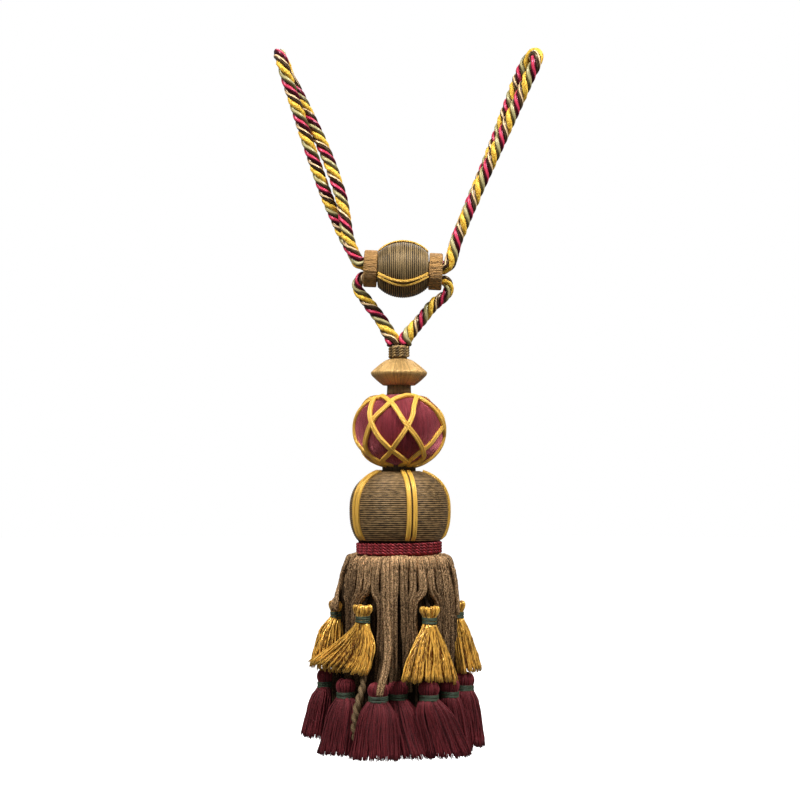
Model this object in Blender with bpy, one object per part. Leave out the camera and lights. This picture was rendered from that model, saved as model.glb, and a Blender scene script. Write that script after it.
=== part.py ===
"""Curtain tieback tassel: a doubled cord with two eyes, a slider ball, and a tassel on its own loop.

Metres, +Z up, +X to the right, +Y away from the viewer. z = 0 is the level at which the two eyes
bear on what holds them, and the tassel hangs on the line x = y = 0.
"""

import math

import bmesh
import bpy
from mathutils import Vector

MM = 0.001
GAP = 0.3 * MM

# Cord: four strands laid up to the left, so that they cross the front from upper left to lower right.
CORD_RADIUS = 4.4 * MM
CORD_GROOVE = 0.80
CORD_STRANDS = 4
CORD_PITCH = 28.0 * MM
CORD_STEPS_PER_PITCH = 7

# The doubled cord, in millimetres: x, y, z of its centreline. It is a closed length whose two ends
# meet inside the slider ball: back run, left leg up, left eye, left leg down, front run, then the right.
EMBRACE_ROUTE = [
    (2.7, 4.6, -146.0),
    (-21.0, 4.6, -145.0),
    (-28.7, 4.6, -142.4),
    (-31.9, 4.6, -136.8),
    (-38.1, 4.7, -125.3),
    (-50.5, 2.3, -97.3),
    (-61.5, -2.0, -66.5),
    (-71.6, -4.7, -35.7),
    (-78.5, -7.2, -14.7),
    (-81.5, -9.0, -4.1),
    (-83.7, -6.4, 1.9),
    (-84.6, 0.0, 4.4),
    (-83.0, 6.4, 1.9),
    (-80.5, 9.0, -4.1),
    (-75.7, 6.4, -14.7),
    (-65.4, 3.6, -35.7),
    (-51.4, 1.2, -66.5),
    (-40.9, -2.6, -97.3),
    (-36.0, -4.6, -125.3),
    (-31.9, -4.6, -136.8),
    (-28.7, -4.6, -142.4),
    (-21.0, -4.6, -145.0),
    (27.0, -4.6, -147.1),
    (34.3, -4.6, -145.3),
    (37.3, -4.6, -139.3),
    (40.9, -4.6, -126.7),
    (53.2, -4.6, -97.3),
    (67.2, -4.6, -66.5),
    (81.2, -4.9, -35.7),
    (90.7, -6.8, -14.7),
    (95.8, -8.6, -4.1),
    (97.0, -6.1, 1.8),
    (95.6, 0.0, 4.4),
    (91.7, 6.1, 1.8),
    (88.1, 8.6, -4.1),
    (83.7, 6.2, -14.7),
    (76.2, 4.5, -35.7),
    (64.8, 4.6, -66.5),
    (52.2, 4.7, -97.3),
    (40.6, 4.7, -126.7),
    (37.3, 4.6, -139.3),
    (34.3, 4.6, -145.3),
    (27.0, 4.6, -147.1),
    (3.3, 4.6, -146.05),
]

# The tassel's own loop, in millimetres, from the neck up the left side, through the slider and back.
# The last column is how full the cord is, where it is pressed over a collar's lip or into the neck.
LOOP_ROUTE = [
    (-4.3, 0.0, -201.7, 0.85),
    (-4.9, 0.0, -197.2, 0.9),
    (-8.2, 0.0, -191.4, 1.0),
    (-12.9, 0.0, -183.4, 1.0),
    (-19.9, 0.0, -174.3, 1.0),
    (-24.8, 0.0, -167.6, 0.95),
    (-28.3, 0.0, -163.5, 0.85),
    (-29.4, 0.0, -158.9, 0.85),
    (-27.2, 0.0, -154.7, 0.85),
    (-23.4, 0.0, -153.0, 0.85),
    (-12.0, 0.0, -153.5, 0.95),
    (16.0, 0.0, -154.7, 0.95),
    (29.4, 0.0, -155.5, 0.85),
    (33.4, 0.0, -157.1, 0.85),
    (35.0, 0.0, -161.3, 0.85),
    (33.3, 0.0, -165.9, 0.85),
    (29.0, 0.0, -169.4, 0.95),
    (22.8, 0.0, -174.6, 1.0),
    (16.4, 0.0, -182.7, 1.0),
    (8.8, 0.0, -191.4, 1.0),
    (4.7, 0.0, -197.2, 0.9),
    (4.3, 0.0, -201.6, 0.85),
]

# Slider: a bored ball on the X axis between two wrapped collars, its right end a little lower.
SLIDER_CENTRE = (2.8 * MM, 0.0, -148.75 * MM)
SLIDER_TILT = math.radians(2.6)
SLIDER_BALL_RADIUS = 19.5 * MM
SLIDER_BALL_LENGTH_RADIUS = 22.5 * MM
SLIDER_BALL_HALF_LENGTH = 17.9 * MM
SLIDER_BORE = 10.25 * MM
COLLAR_RADIUS = 12.95 * MM
COLLAR_INNER_END = 18.2 * MM
COLLAR_OUTER_END = 27.6 * MM
SLIDER_BRAID_WIDTH = 4.4 * MM
SLIDER_BRAID_THICKNESS = 1.3 * MM
SLIDER_BRAID_ANGLES = (-29, 91, 211)

# Tassel body, from the neck down. Profiles are rows of radius and height, in millimetres.
NECK_PROFILE = [
    (7.1, -202.8), (7.6, -203.8), (7.0, -204.9), (7.5, -206.1), (6.9, -207.3), (7.5, -208.5), (7.0, -211.2),
]
DISC_PROFILE = [
    (7.6, -211.5), (10.3, -212.9), (14.2, -215.6), (17.2, -218.4), (19.4, -220.4), (19.7, -221.6),
    (19.2, -223.0), (16.6, -225.6), (13.6, -228.2), (11.2, -229.9),
]
SPACER_PROFILE = [(8.3, -230.2), (8.5, -234.6)]
BURGUNDY_CENTRE_Z = -260.7 * MM
BURGUNDY_RADIUS = 31.2 * MM
BURGUNDY_HALF_HEIGHT = 26.3 * MM
BURGUNDY_ROUNDNESS = 2.2
BURGUNDY_TOP_Z = -234.9 * MM
BURGUNDY_WAIST_Z = (-283.4 * MM, -289.4 * MM)
BURGUNDY_WAIST_RADIUS = 11.7 * MM
OLIVE_CENTRE_Z = -317.2 * MM
OLIVE_RADIUS = 34.7 * MM
OLIVE_UP = 28.8 * MM
OLIVE_DOWN = 32.2 * MM
OLIVE_ROUNDNESS = 2.45
OLIVE_TOP_RADIUS = 14.0 * MM
OLIVE_BOTTOM_Z = -338.0 * MM
BINDING_RADIUS = 30.1 * MM
BINDING_GROOVE_RADIUS = 29.2 * MM
BINDING_TOP_Z = -338.3 * MM
BINDING_TURNS = 3
BINDING_TURN_HEIGHT = 3.25 * MM

# Gold braid over the burgundy ball: lean, then its bearing in degrees at each of the five heights.
LATTICE_WIDTH = 3.1 * MM
LATTICE_HEIGHTS = (-238.2, -248.5, -260.5, -272.0, -282.0)
LATTICE_BRAIDS = [
    ("down right", (-31, -9, 12, 33, 56)),
    ("down right", (-62, -45, -35, -18, 10)),
    ("down right", (39, 70, 92, 112, 136)),
    ("down right", (108, 128, 148, 168, 190)),
    ("down right", (182, 202, 222, 242, 264)),
    ("down left", (37, 26, 13, -4, -43)),
    ("down left", (-14, -31, -43, -55, -72)),
    ("down left", (115, 103, 84, 52, 26)),
    ("down left", (188, 168, 147, 126, 103)),
    ("down left", (264, 243, 222, 202, 180)),
]
LATTICE_LIFT = {"down right": (1.4 * MM, 2.2 * MM), "down left": (1.7 * MM, 2.6 * MM)}

# The turns of braid in which the bands end: height, half height, and lift of the underside and the face.
LATTICE_HOOPS = ((-237.9 * MM, 0.9 * MM, 1.3 * MM, 2.4 * MM), (-282.2 * MM, 0.9 * MM, 1.3 * MM, 2.4 * MM))

# Gold braid pairs over the olive ball.
OLIVE_BRAID_BEARINGS = (-58, 15, 88, 160, 231)
OLIVE_BRAID_WIDTH = 8.2 * MM
OLIVE_BRAID_THICKNESS = 1.5 * MM
BRAID_LIFT = 0.6 * MM

# Skirt of strips hung from a heading: an outer and an inner row, one strip of each row to a sector.
SKIRT_SECTORS = 24
SKIRT_TOP_Z = -348.6 * MM
SKIRT_HEADING_Z = -354.6 * MM
SKIRT_RINGS = (18.0 * MM, 25.5 * MM, 34.5 * MM)
STRIP_HALF_WIDTH = 3.3 * MM
STRIP_HALF_THICKNESS = 0.9 * MM
STRIP_SWELL_Z = -366.0 * MM
STRIP_KNEE_Z = -381.0 * MM
STRIP_END_Z = -428.0 * MM
OUTER_STRIP_RADII = (37.6 * MM, 40.6 * MM, 40.4 * MM)
BEHIND_GOLD_RADII = (37.0 * MM, 37.0 * MM, 36.0 * MM)
INNER_STRIP_RADII = (30.0 * MM, 32.5 * MM, 33.5 * MM)

# Small tassels. Rows of the tassel's outline: distance below its top, half width, half depth, in mm.
GOLD_HEAD = [(1.6, 4.6, 3.9), (5.2, 6.2, 5.0), (8.6, 5.0, 4.2), (13.2, 5.0, 4.2)]
GOLD_SKIRT = [(13.2, 5.0, 4.2), (27.0, 13.0, 6.0), (48.0, 20.0, 7.0)]
BURGUNDY_HEAD = [(1.6, 4.6, 4.0), (5.0, 6.4, 5.6), (8.2, 5.5, 4.8), (12.4, 5.5, 4.8)]
BURGUNDY_SKIRT = [(12.4, 5.5, 4.8), (20.0, 11.0, 7.6), (49.5, 13.6, 8.8)]
TIE_OUTSTAND = 0.9 * MM
TASSEL_LOCKS = 7

# Bearing in degrees from the front towards +X, distance from the axis, height of the top, outward
# lean and sideways sweep at the hem, and how wide the skirt is against GOLD_SKIRT.
GOLD_TASSELS = [
    (-86, 43.2, -379.3, 4.5, -2.0, 0.66),
    (-35, 42.8, -380.0, 4.5, -11.0, 0.92),
    (29, 42.8, -381.2, 4.5, 0.0, 1.0),
    (83, 43.2, -380.0, 4.0, 2.0, 0.80),
    (131, 42.8, -381.0, 4.5, 1.0, 0.86),
    (186, 42.8, -382.0, 4.5, 0.0, 0.92),
    (227, 42.8, -380.5, 4.5, 0.0, 0.86),
]
# The same columns, against BURGUNDY_SKIRT.
BURGUNDY_TASSELS = [
    (-92, 49.0, -428.6, 4.0, 0.0, 0.95),
    (-61, 47.0, -432.0, 2.5, 0.0, 0.86),
    (-17, 47.5, -433.0, 3.5, 1.0, 1.06),
    (1, 31.5, -433.5, 1.0, 0.0, 0.80),
    (25, 47.5, -432.5, 3.0, 3.0, 1.06),
    (53, 45.0, -432.5, 1.5, 1.0, 0.56),
    (75, 47.5, -429.5, 2.5, 0.5, 0.78),
    (104, 48.0, -431.5, 3.0, 0.0, 0.95),
    (134, 48.0, -432.5, 2.5, 0.0, 0.95),
    (165, 48.0, -432.0, 3.0, 0.0, 0.98),
    (196, 48.0, -433.0, 2.5, 0.0, 0.98),
    (230, 48.0, -432.0, 3.0, 0.0, 0.98),
]

# The one bullion cord: a folded, twisted yarn that hangs between two burgundy tassels.
BULLION_BEARING = -38.5
BULLION_DISTANCE = 45.5 * MM
BULLION_TOP_Z = -430.0 * MM
BULLION_PITCH = 15.0 * MM
BULLION_OUTLINE = [(0.0, 2.2), (5.0, 3.3), (12.0, 3.9), (22.0, 4.1), (33.0, 3.7), (39.0, 2.5), (41.5, 1.2)]
# The strip that runs down in front of one burgundy tassel: bearing, distance and height, in mm.
LOOSE_STRIP = [(-8, 38.5, -366.0), (-6, 42.0, -385.0), (-8, 46.5, -405.0), (-13, 54.6, -424.0), (-18, 57.0, -440.0)]

COLOURS = {
    "cord": (0.46, 0.24, 0.08),
    "ribbed_olive": (0.20, 0.14, 0.07),
    "camel": (0.42, 0.26, 0.12),
    "gold_braid": (0.72, 0.40, 0.07),
    "taupe": (0.17, 0.12, 0.07),
    "beige_silk": (0.55, 0.34, 0.13),
    "burgundy": (0.22, 0.02, 0.04),
    "gold_fringe": (0.66, 0.36, 0.04),
    "green": (0.03, 0.06, 0.03),
}


def clear_scene():
    for old in list(bpy.data.objects):
        bpy.data.objects.remove(old)


def material(name):
    """One Principled material for each colour, made when it is first asked for."""
    found = bpy.data.materials.get(name)
    if found:
        return found
    made = bpy.data.materials.new(name)
    made.use_nodes = True
    shader = made.node_tree.nodes["Principled BSDF"]
    shader.inputs["Base Color"].default_value = (*COLOURS[name], 1.0)
    shader.inputs["Roughness"].default_value = 0.7
    shader.inputs["Metallic"].default_value = 0.0
    return made


def finish(name, bm, colour):
    """Turns a closed bmesh into a named object of triangles with its faces pointing out."""
    bmesh.ops.recalc_face_normals(bm, faces=bm.faces)
    bmesh.ops.triangulate(bm, faces=bm.faces)
    mesh = bpy.data.meshes.new(name)
    bm.to_mesh(mesh)
    bm.free()
    mesh.materials.append(material(colour))
    mesh.shade_smooth()
    mesh.set_sharp_from_angle(angle=math.radians(50))
    made = bpy.data.objects.new(name, mesh)
    bpy.context.scene.collection.objects.link(made)
    return made


def add_ring(bm, points):
    return [bm.verts.new(point) for point in points]


def bridge(bm, ring, other):
    """Joins two rings of the same number of points with one quad to a side."""
    count = len(ring)
    for i in range(count):
        j = (i + 1) % count
        bm.faces.new((ring[i], ring[j], other[j], other[i]))


def bearing_point(bearing, distance, z):
    """The point at a bearing from the front towards +X, in degrees, and a distance from the axis."""
    angle = math.radians(bearing)
    return Vector((distance * math.sin(angle), -distance * math.cos(angle), z))


def turned(name, profile, colour, segments):
    """A solid of revolution about the tassel's line, closed at top and bottom with flat faces."""
    bm = bmesh.new()
    rings = []
    for radius, z in profile:
        points = [bearing_point(360 * i / segments, radius, z) for i in range(segments)]
        rings.append(add_ring(bm, points))
    for ring, following in zip(rings, rings[1:]):
        bridge(bm, ring, following)
    bm.faces.new(rings[0])
    bm.faces.new(rings[-1])
    return finish(name, bm, colour)


def in_millimetres(profile):
    return [(radius * MM, z * MM) for radius, z in profile]


def rounded(offset, reach, roundness):
    """How wide a rounded form still is, from 1 to 0, at an offset from its middle."""
    return max(0.0, 1 - abs(offset / reach) ** roundness) ** (1 / roundness)


def burgundy_radius(z):
    return BURGUNDY_RADIUS * rounded(z - BURGUNDY_CENTRE_Z, BURGUNDY_HALF_HEIGHT, BURGUNDY_ROUNDNESS)


def olive_radius(z):
    offset = z - OLIVE_CENTRE_Z
    reach = OLIVE_UP if offset > 0 else OLIVE_DOWN
    return OLIVE_RADIUS * rounded(offset, reach, OLIVE_ROUNDNESS)


def olive_top_z():
    """The height at which the olive ball is as wide as its flat top."""
    narrow = 1 - (OLIVE_TOP_RADIUS / OLIVE_RADIUS) ** OLIVE_ROUNDNESS
    return OLIVE_CENTRE_Z + OLIVE_UP * narrow ** (1 / OLIVE_ROUNDNESS)


def spread(start, end, steps):
    """Values from start to end, closer together near both, as a round form needs."""
    return [start + (end - start) * (1 - math.cos(math.pi * i / steps)) / 2 for i in range(steps + 1)]


# Cord


def spline_point(before, start, end, after, share):
    """A point on the Catmull-Rom curve from start to end."""
    square = share * share
    cube = square * share
    return 0.5 * (
        2 * start
        + (end - before) * share
        + (2 * before - 5 * start + 4 * end - after) * square
        + (3 * start - before - 3 * end + after) * cube
    )


def smooth_route(route, spacing):
    """Points at an even spacing along the smooth curve through a route, as 4-vectors of place and fullness."""
    knots = [Vector((*(value * MM for value in row[:3]), row[3] if len(row) > 3 else 1.0)) for row in route]
    knots = [2 * knots[0] - knots[1], *knots, 2 * knots[-1] - knots[-2]]
    fine = []
    for i in range(1, len(knots) - 2):
        for step in range(24):
            fine.append(spline_point(*knots[i - 1:i + 3], step / 24))
    fine.append(knots[-2])
    lengths = [0.0]
    for start, end in zip(fine, fine[1:]):
        lengths.append(lengths[-1] + (end.xyz - start.xyz).length)
    count = round(lengths[-1] / spacing)
    points = []
    at = 0
    for i in range(count + 1):
        wanted = lengths[-1] * i / count
        while at < len(fine) - 2 and lengths[at + 1] < wanted:
            at += 1
        share = (wanted - lengths[at]) / (lengths[at + 1] - lengths[at])
        points.append(fine[at].lerp(fine[at + 1], share))
    return points


def laid_cord(name, points, radius_at, strands, groove, pitch, colour):
    """A cord of laid strands: a lobed section swept along the points, turned to the left as it goes."""
    bm = bmesh.new()
    places = [point.xyz for point in points]
    side = (places[1] - places[0]).cross(Vector((0, 1, 0))).normalized()
    travelled = 0.0
    rings = []
    for i, place in enumerate(places):
        along = (places[min(i + 1, len(places) - 1)] - places[max(i - 1, 0)]).normalized()
        side = (side - along * side.dot(along)).normalized()
        across = along.cross(side)
        if i:
            travelled += (place - places[i - 1]).length
        twist = -2 * math.pi * travelled / pitch
        ring = []
        for corner in range(2 * strands):
            angle = twist + math.pi * corner / strands
            reach = radius_at(i, travelled) * (groove if corner % 2 else 1.0)
            ring.append(place + (side * math.cos(angle) + across * math.sin(angle)) * reach)
        rings.append(add_ring(bm, ring))
    for ring, following in zip(rings, rings[1:]):
        bridge(bm, ring, following)
    bm.faces.new(rings[0])
    bm.faces.new(rings[-1])
    return finish(name, bm, colour)


def make_cords():
    for name, route in (("embrace_cord", EMBRACE_ROUTE), ("tassel_loop_cord", LOOP_ROUTE)):
        points = smooth_route(route, CORD_PITCH / CORD_STEPS_PER_PITCH)

        def radius_at(i, travelled, points=points):
            return CORD_RADIUS * points[i].w

        laid_cord(name, points, radius_at, CORD_STRANDS, CORD_GROOVE, CORD_PITCH, "cord")


def make_bullion():
    steps = 24
    length = BULLION_OUTLINE[-1][0] * MM
    top = bearing_point(BULLION_BEARING, BULLION_DISTANCE, BULLION_TOP_Z)
    points = [Vector((*(top - Vector((0, 0, length * i / steps))), 1.0)) for i in range(steps + 1)]

    def radius_at(i, travelled):
        for (start, narrow), (end, wide) in zip(BULLION_OUTLINE, BULLION_OUTLINE[1:]):
            if travelled <= end * MM + 1e-6:
                share = (travelled / MM - start) / (end - start)
                return (narrow + (wide - narrow) * share) * MM
        return BULLION_OUTLINE[-1][1] * MM

    laid_cord("bullion_cord", points, radius_at, 2, 0.72, BULLION_PITCH, "taupe")


# Slider


def slider_point(along, radius, bearing):
    """A point of the slider: distance along its axis, radius, and bearing from the front upwards."""
    angle = math.radians(bearing)
    y = -radius * math.cos(angle)
    z = radius * math.sin(angle)
    x = along * math.cos(SLIDER_TILT) + z * math.sin(SLIDER_TILT)
    z = z * math.cos(SLIDER_TILT) - along * math.sin(SLIDER_TILT)
    return Vector(SLIDER_CENTRE) + Vector((x, y, z))


def slider_ring(name, section, colour, segments):
    """A closed section of places along the axis and radii, carried round the slider's axis."""
    bm = bmesh.new()
    rings = []
    for i in range(segments):
        rings.append(add_ring(bm, [slider_point(along, radius, 360 * i / segments) for along, radius in section]))
    for i, ring in enumerate(rings):
        bridge(bm, ring, rings[(i + 1) % segments])
    return finish(name, bm, colour)


def slider_ball_radius(along):
    return SLIDER_BALL_RADIUS * rounded(along, SLIDER_BALL_LENGTH_RADIUS, 2.0)


def make_slider():
    half = SLIDER_BALL_HALF_LENGTH
    section = [(along, slider_ball_radius(along)) for along in spread(-half, half, 9)]
    section += [(half, SLIDER_BORE), (-half, SLIDER_BORE)]
    slider_ring("slider_ball", section, "ribbed_olive", 24)

    middle = (COLLAR_RADIUS + SLIDER_BORE) / 2
    half_wall = (COLLAR_RADIUS - SLIDER_BORE) / 2
    for name, side in (("slider_collar_left", -1), ("slider_collar_right", 1)):
        outer_turn = COLLAR_OUTER_END - half_wall
        section = [(side * COLLAR_INNER_END, SLIDER_BORE), (side * COLLAR_INNER_END, COLLAR_RADIUS - 0.4 * MM)]
        section.append((side * (COLLAR_INNER_END + 0.6 * MM), COLLAR_RADIUS))
        for angle in (90, 45, 0, -45, -90):
            turn = math.radians(angle)
            along = outer_turn + half_wall * math.cos(turn)
            section.append((side * along, middle + half_wall * math.sin(turn)))
        slider_ring(name, section, "camel", 20)

    reach = SLIDER_BALL_HALF_LENGTH - GAP
    for i, bearing in enumerate(SLIDER_BRAID_ANGLES):
        rows = []
        for along in spread(-reach, reach, 9):
            under = slider_ball_radius(along) + BRAID_LIFT
            rows.append(braid_row(under, SLIDER_BRAID_WIDTH, SLIDER_BRAID_THICKNESS, bearing, along))
        swept(f"slider_braid_{i + 1}", rows, slider_point, "gold_braid")


# Braids


def braid_row(under, width, thickness, bearing, along):
    """The section of a braid pair: two rounded cords side by side with a groove between them."""
    half = math.degrees(width / 2 / (under + thickness))
    over = under + thickness
    shoulder = under + 0.45 * thickness
    valley = under + 0.5 * thickness
    return [
        (along, under, bearing - half),
        (along, shoulder, bearing - half),
        (along, over, bearing - 0.55 * half),
        (along, valley, bearing),
        (along, over, bearing + 0.55 * half),
        (along, shoulder, bearing + half),
        (along, under, bearing + half),
    ]


def swept(name, rows, place, colour):
    """Joins rows of (along, radius, bearing), each placed by the given function, into one solid."""
    bm = bmesh.new()
    rings = [add_ring(bm, [place(*point) for point in row]) for row in rows]
    for ring, following in zip(rings, rings[1:]):
        bridge(bm, ring, following)
    bm.faces.new(rings[0])
    bm.faces.new(rings[-1])
    return finish(name, bm, colour)


def surface_offset(radius_of, z, lift):
    """Radius and height of the point that stands off a turned surface by lift."""
    step = 0.2 * MM
    slope = (radius_of(z + step) - radius_of(z - step)) / (2 * step)
    length = math.hypot(1, slope)
    return radius_of(z) + lift / length, z - lift * slope / length


def make_olive_braids():
    heights = spread(olive_top_z() - 0.9 * MM, OLIVE_BOTTOM_Z + 0.4 * MM, 9)
    for i, bearing in enumerate(OLIVE_BRAID_BEARINGS):
        bm = bmesh.new()
        rings = []
        for z in heights:
            low, low_z = surface_offset(olive_radius, z, BRAID_LIFT)
            high, high_z = surface_offset(olive_radius, z, BRAID_LIFT + OLIVE_BRAID_THICKNESS)
            half = math.degrees(OLIVE_BRAID_WIDTH / 2 / max(low, 15 * MM))
            section = [(-1, 0), (-1, 0.45), (-0.55, 1), (0, 0.5), (0.55, 1), (1, 0.45), (1, 0)]
            ring = []
            for across, up in section:
                radius = low + (high - low) * up
                ring.append(bearing_point(bearing + across * half, radius, low_z + (high_z - low_z) * up))
            rings.append(add_ring(bm, ring))
        for ring, following in zip(rings, rings[1:]):
            bridge(bm, ring, following)
        bm.faces.new(rings[0])
        bm.faces.new(rings[-1])
        finish(f"olive_braid_{i + 1}", bm, "gold_braid")


def read_table(heights, values, z):
    """The value at a height, read smoothly from a table that runs down from the first height."""
    for i in range(len(heights) - 1):
        if z >= heights[i + 1] or i == len(heights) - 2:
            share = (heights[i] - z) / (heights[i] - heights[i + 1])
            before = values[max(i - 1, 0)]
            after = values[min(i + 2, len(values) - 1)]
            return spline_point(before, values[i], values[i + 1], after, share)


def lattice_band(lean, bearings):
    """One flat braid over the burgundy ball, from the upper ring to the lower one."""
    bm = bmesh.new()
    heights = [height * MM for height in LATTICE_HEIGHTS]
    inner, outer = LATTICE_LIFT[lean]
    steps = 6
    rings = []
    levels = spread(heights[0], heights[-1], steps)
    middles = []
    for z in levels:
        radius, _ = surface_offset(burgundy_radius, z, 0)
        middles.append(bearing_point(read_table(heights, bearings, z), radius, z))
    for i, z in enumerate(levels):
        low, low_z = surface_offset(burgundy_radius, z, inner)
        high, high_z = surface_offset(burgundy_radius, z, outer)
        bearing = read_table(heights, bearings, z)
        out = bearing_point(bearing, high - low, high_z - low_z).normalized()
        along = (middles[min(i + 1, steps)] - middles[max(i - 1, 0)]).normalized()
        across = along.cross(out).normalized() * LATTICE_WIDTH / 2
        under = bearing_point(bearing, low, low_z)
        over = bearing_point(bearing, high, high_z)
        rings.append(add_ring(bm, [under - across, over - across, over + across, under + across]))
    for ring, following in zip(rings, rings[1:]):
        bridge(bm, ring, following)
    bm.faces.new(rings[0])
    bm.faces.new(rings[-1])
    return finish("lattice_band", bm, "gold_braid")


def lattice_hoop(z, half_height, low, high, segments):
    """The turn of braid that runs round the burgundy ball where the crossing bands end."""
    bm = bmesh.new()
    rows = []
    for level, lift in ((1, low), (1, high), (-1, high), (-1, low)):
        rows.append(surface_offset(burgundy_radius, z + level * half_height, lift))
    rings = []
    for i in range(segments):
        rings.append(add_ring(bm, [bearing_point(360 * i / segments, radius, height) for radius, height in rows]))
    for i, ring in enumerate(rings):
        bridge(bm, ring, rings[(i + 1) % segments])
    return finish("lattice_hoop", bm, "gold_braid")


def make_lattice():
    """All bands and both hoops, fused where they cross."""
    whole, *others = [lattice_hoop(*row, 16) for row in LATTICE_HOOPS]
    whole.name = "braid_lattice"
    others += [lattice_band(lean, bearings) for lean, bearings in LATTICE_BRAIDS]
    for other in others:
        union = whole.modifiers.new("fuse", "BOOLEAN")
        union.operation = "UNION"
        union.object = other
        bpy.context.view_layer.objects.active = whole
        bpy.ops.object.modifier_apply(modifier=union.name)
        bpy.data.objects.remove(other)


# Turned body


def make_body():
    turned("neck_binding", in_millimetres(NECK_PROFILE), "taupe", 16)
    turned("disc", in_millimetres(DISC_PROFILE), "beige_silk", 20)
    turned("spacer", in_millimetres(SPACER_PROFILE), "taupe", 16)

    profile = [(burgundy_radius(z), z) for z in spread(BURGUNDY_TOP_Z - 1.4 * MM, BURGUNDY_WAIST_Z[0], 8)]
    profile.insert(0, (8.5 * MM, BURGUNDY_TOP_Z))
    profile.append((BURGUNDY_WAIST_RADIUS, BURGUNDY_WAIST_Z[0] - 1.6 * MM))
    profile.append((BURGUNDY_WAIST_RADIUS, BURGUNDY_WAIST_Z[1]))
    turned("burgundy_ball", profile, "burgundy", 24)

    profile = [(olive_radius(z), z) for z in spread(olive_top_z(), OLIVE_BOTTOM_Z, 9)]
    turned("olive_ball", profile, "ribbed_olive", 24)

    profile = []
    for turn in range(BINDING_TURNS):
        top = BINDING_TOP_Z - turn * BINDING_TURN_HEIGHT
        profile.append((BINDING_GROOVE_RADIUS, top))
        profile.append((BINDING_RADIUS, top - 0.3 * BINDING_TURN_HEIGHT))
        profile.append((BINDING_RADIUS, top - 0.7 * BINDING_TURN_HEIGHT))
    profile.append((BINDING_GROOVE_RADIUS, BINDING_TOP_Z - BINDING_TURNS * BINDING_TURN_HEIGHT))
    turned("burgundy_binding", profile, "burgundy", 20)


# Skirt


def sector_of(bearing):
    return int(bearing % 360 * SKIRT_SECTORS // 360)


def hung_from(index, rows):
    """The row of a table of small tassels that hangs in this sector, if there is one."""
    for row in rows:
        if sector_of(row[0]) == index:
            return row
    return None


def strip_rows(bearing, row, index):
    """Sections of one strip, each of bearing, distance, height and half width."""
    waver = math.sin(2.4 * index + row)
    end_z = STRIP_END_Z + (1.5 + 2.0 * waver) * MM
    wide = STRIP_HALF_WIDTH
    if row == 0:
        radii = INNER_STRIP_RADII
        hung = hung_from(index, BURGUNDY_TASSELS)
        if hung:
            end_z = hung[2] * MM + GAP
    else:
        if index == sector_of(LOOSE_STRIP[0][0]):
            return [(turn, distance * MM, z * MM, wide) for turn, distance, z in LOOSE_STRIP]
        hung = hung_from(index, GOLD_TASSELS)
        if hung:
            return [
                (bearing, OUTER_STRIP_RADII[0], STRIP_SWELL_Z, wide),
                (hung[0], (hung[1] - 1.0) * MM, hung[2] * MM + GAP, 0.7 * wide),
            ]
        beside = hung_from((index + 1) % SKIRT_SECTORS, GOLD_TASSELS) or hung_from((index - 1) % SKIRT_SECTORS, GOLD_TASSELS)
        radii = BEHIND_GOLD_RADII if beside else OUTER_STRIP_RADII
    return [
        (bearing, radii[0], STRIP_SWELL_Z, wide),
        (bearing + 1.2 * waver, radii[1], STRIP_KNEE_Z, wide),
        (bearing + 2.0 * waver, radii[2], end_z, wide),
    ]


def strip_section(bearing, distance, z, half_width):
    """The four corners of a strip's section, flat side outwards."""
    across = bearing_point(bearing + 90, half_width, 0)
    out = bearing_point(bearing, STRIP_HALF_THICKNESS, 0)
    middle = bearing_point(bearing, distance, z)
    return [middle - across - out, middle - across + out, middle + across + out, middle + across - out]


def make_skirt():
    bm = bmesh.new()
    sector = 360 / SKIRT_SECTORS
    lines = []
    for i in range(SKIRT_SECTORS):
        edge = i * sector
        lines.append(
            {
                "low": [bm.verts.new(bearing_point(edge, radius, SKIRT_HEADING_Z)) for radius in SKIRT_RINGS],
                "high": [bm.verts.new(bearing_point(edge, radius, SKIRT_TOP_Z)) for radius in SKIRT_RINGS[::2]],
            }
        )
    for i, line in enumerate(lines):
        after = lines[(i + 1) % SKIRT_SECTORS]
        bm.faces.new((line["high"][0], line["high"][1], after["high"][1], after["high"][0]))
        bm.faces.new((line["low"][2], line["high"][1], after["high"][1], after["low"][2]))
        bm.faces.new((line["low"][0], line["high"][0], after["high"][0], after["low"][0]))
        for row in (0, 1):
            root = [line["low"][row], line["low"][row + 1], after["low"][row + 1], after["low"][row]]
            bearing = (i + 0.5) * sector
            distance = (SKIRT_RINGS[row] + SKIRT_RINGS[row + 1]) / 2
            half = min(STRIP_HALF_WIDTH, distance * math.radians(sector) / 2 - 0.5 * MM)
            ring = add_ring(bm, strip_section(bearing, distance, SKIRT_HEADING_Z, half))
            bridge(bm, root, ring)
            for turn, reach, z, half_width in strip_rows(bearing, row, i):
                following = add_ring(bm, strip_section(turn, reach, z, half_width))
                bridge(bm, ring, following)
                ring = following
            bm.faces.new(ring)
    finish("skirt", bm, "taupe")


# Small tassels


class Place:
    """Where one small tassel hangs: its line, and its own outward and sideways directions."""

    def __init__(self, bearing, distance, top, lean, sweep, hem):
        self.out = bearing_point(bearing, 1.0, 0.0)
        self.side = bearing_point(bearing + 90, 1.0, 0.0)
        self.top = bearing_point(bearing, distance * MM, top * MM)
        self.lean = lean * MM
        self.sweep = sweep * MM
        self.hem = hem * MM

    def point(self, drop, side, out, tie):
        """The point a drop below the top, with side and out counted from the tassel's own line."""
        share = max(0.0, (drop - tie) / (self.hem - tie))
        bend = share ** 1.3
        place = self.top - Vector((0, 0, drop))
        return place + self.side * (side + self.sweep * bend) + self.out * (out + self.lean * bend)


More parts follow.
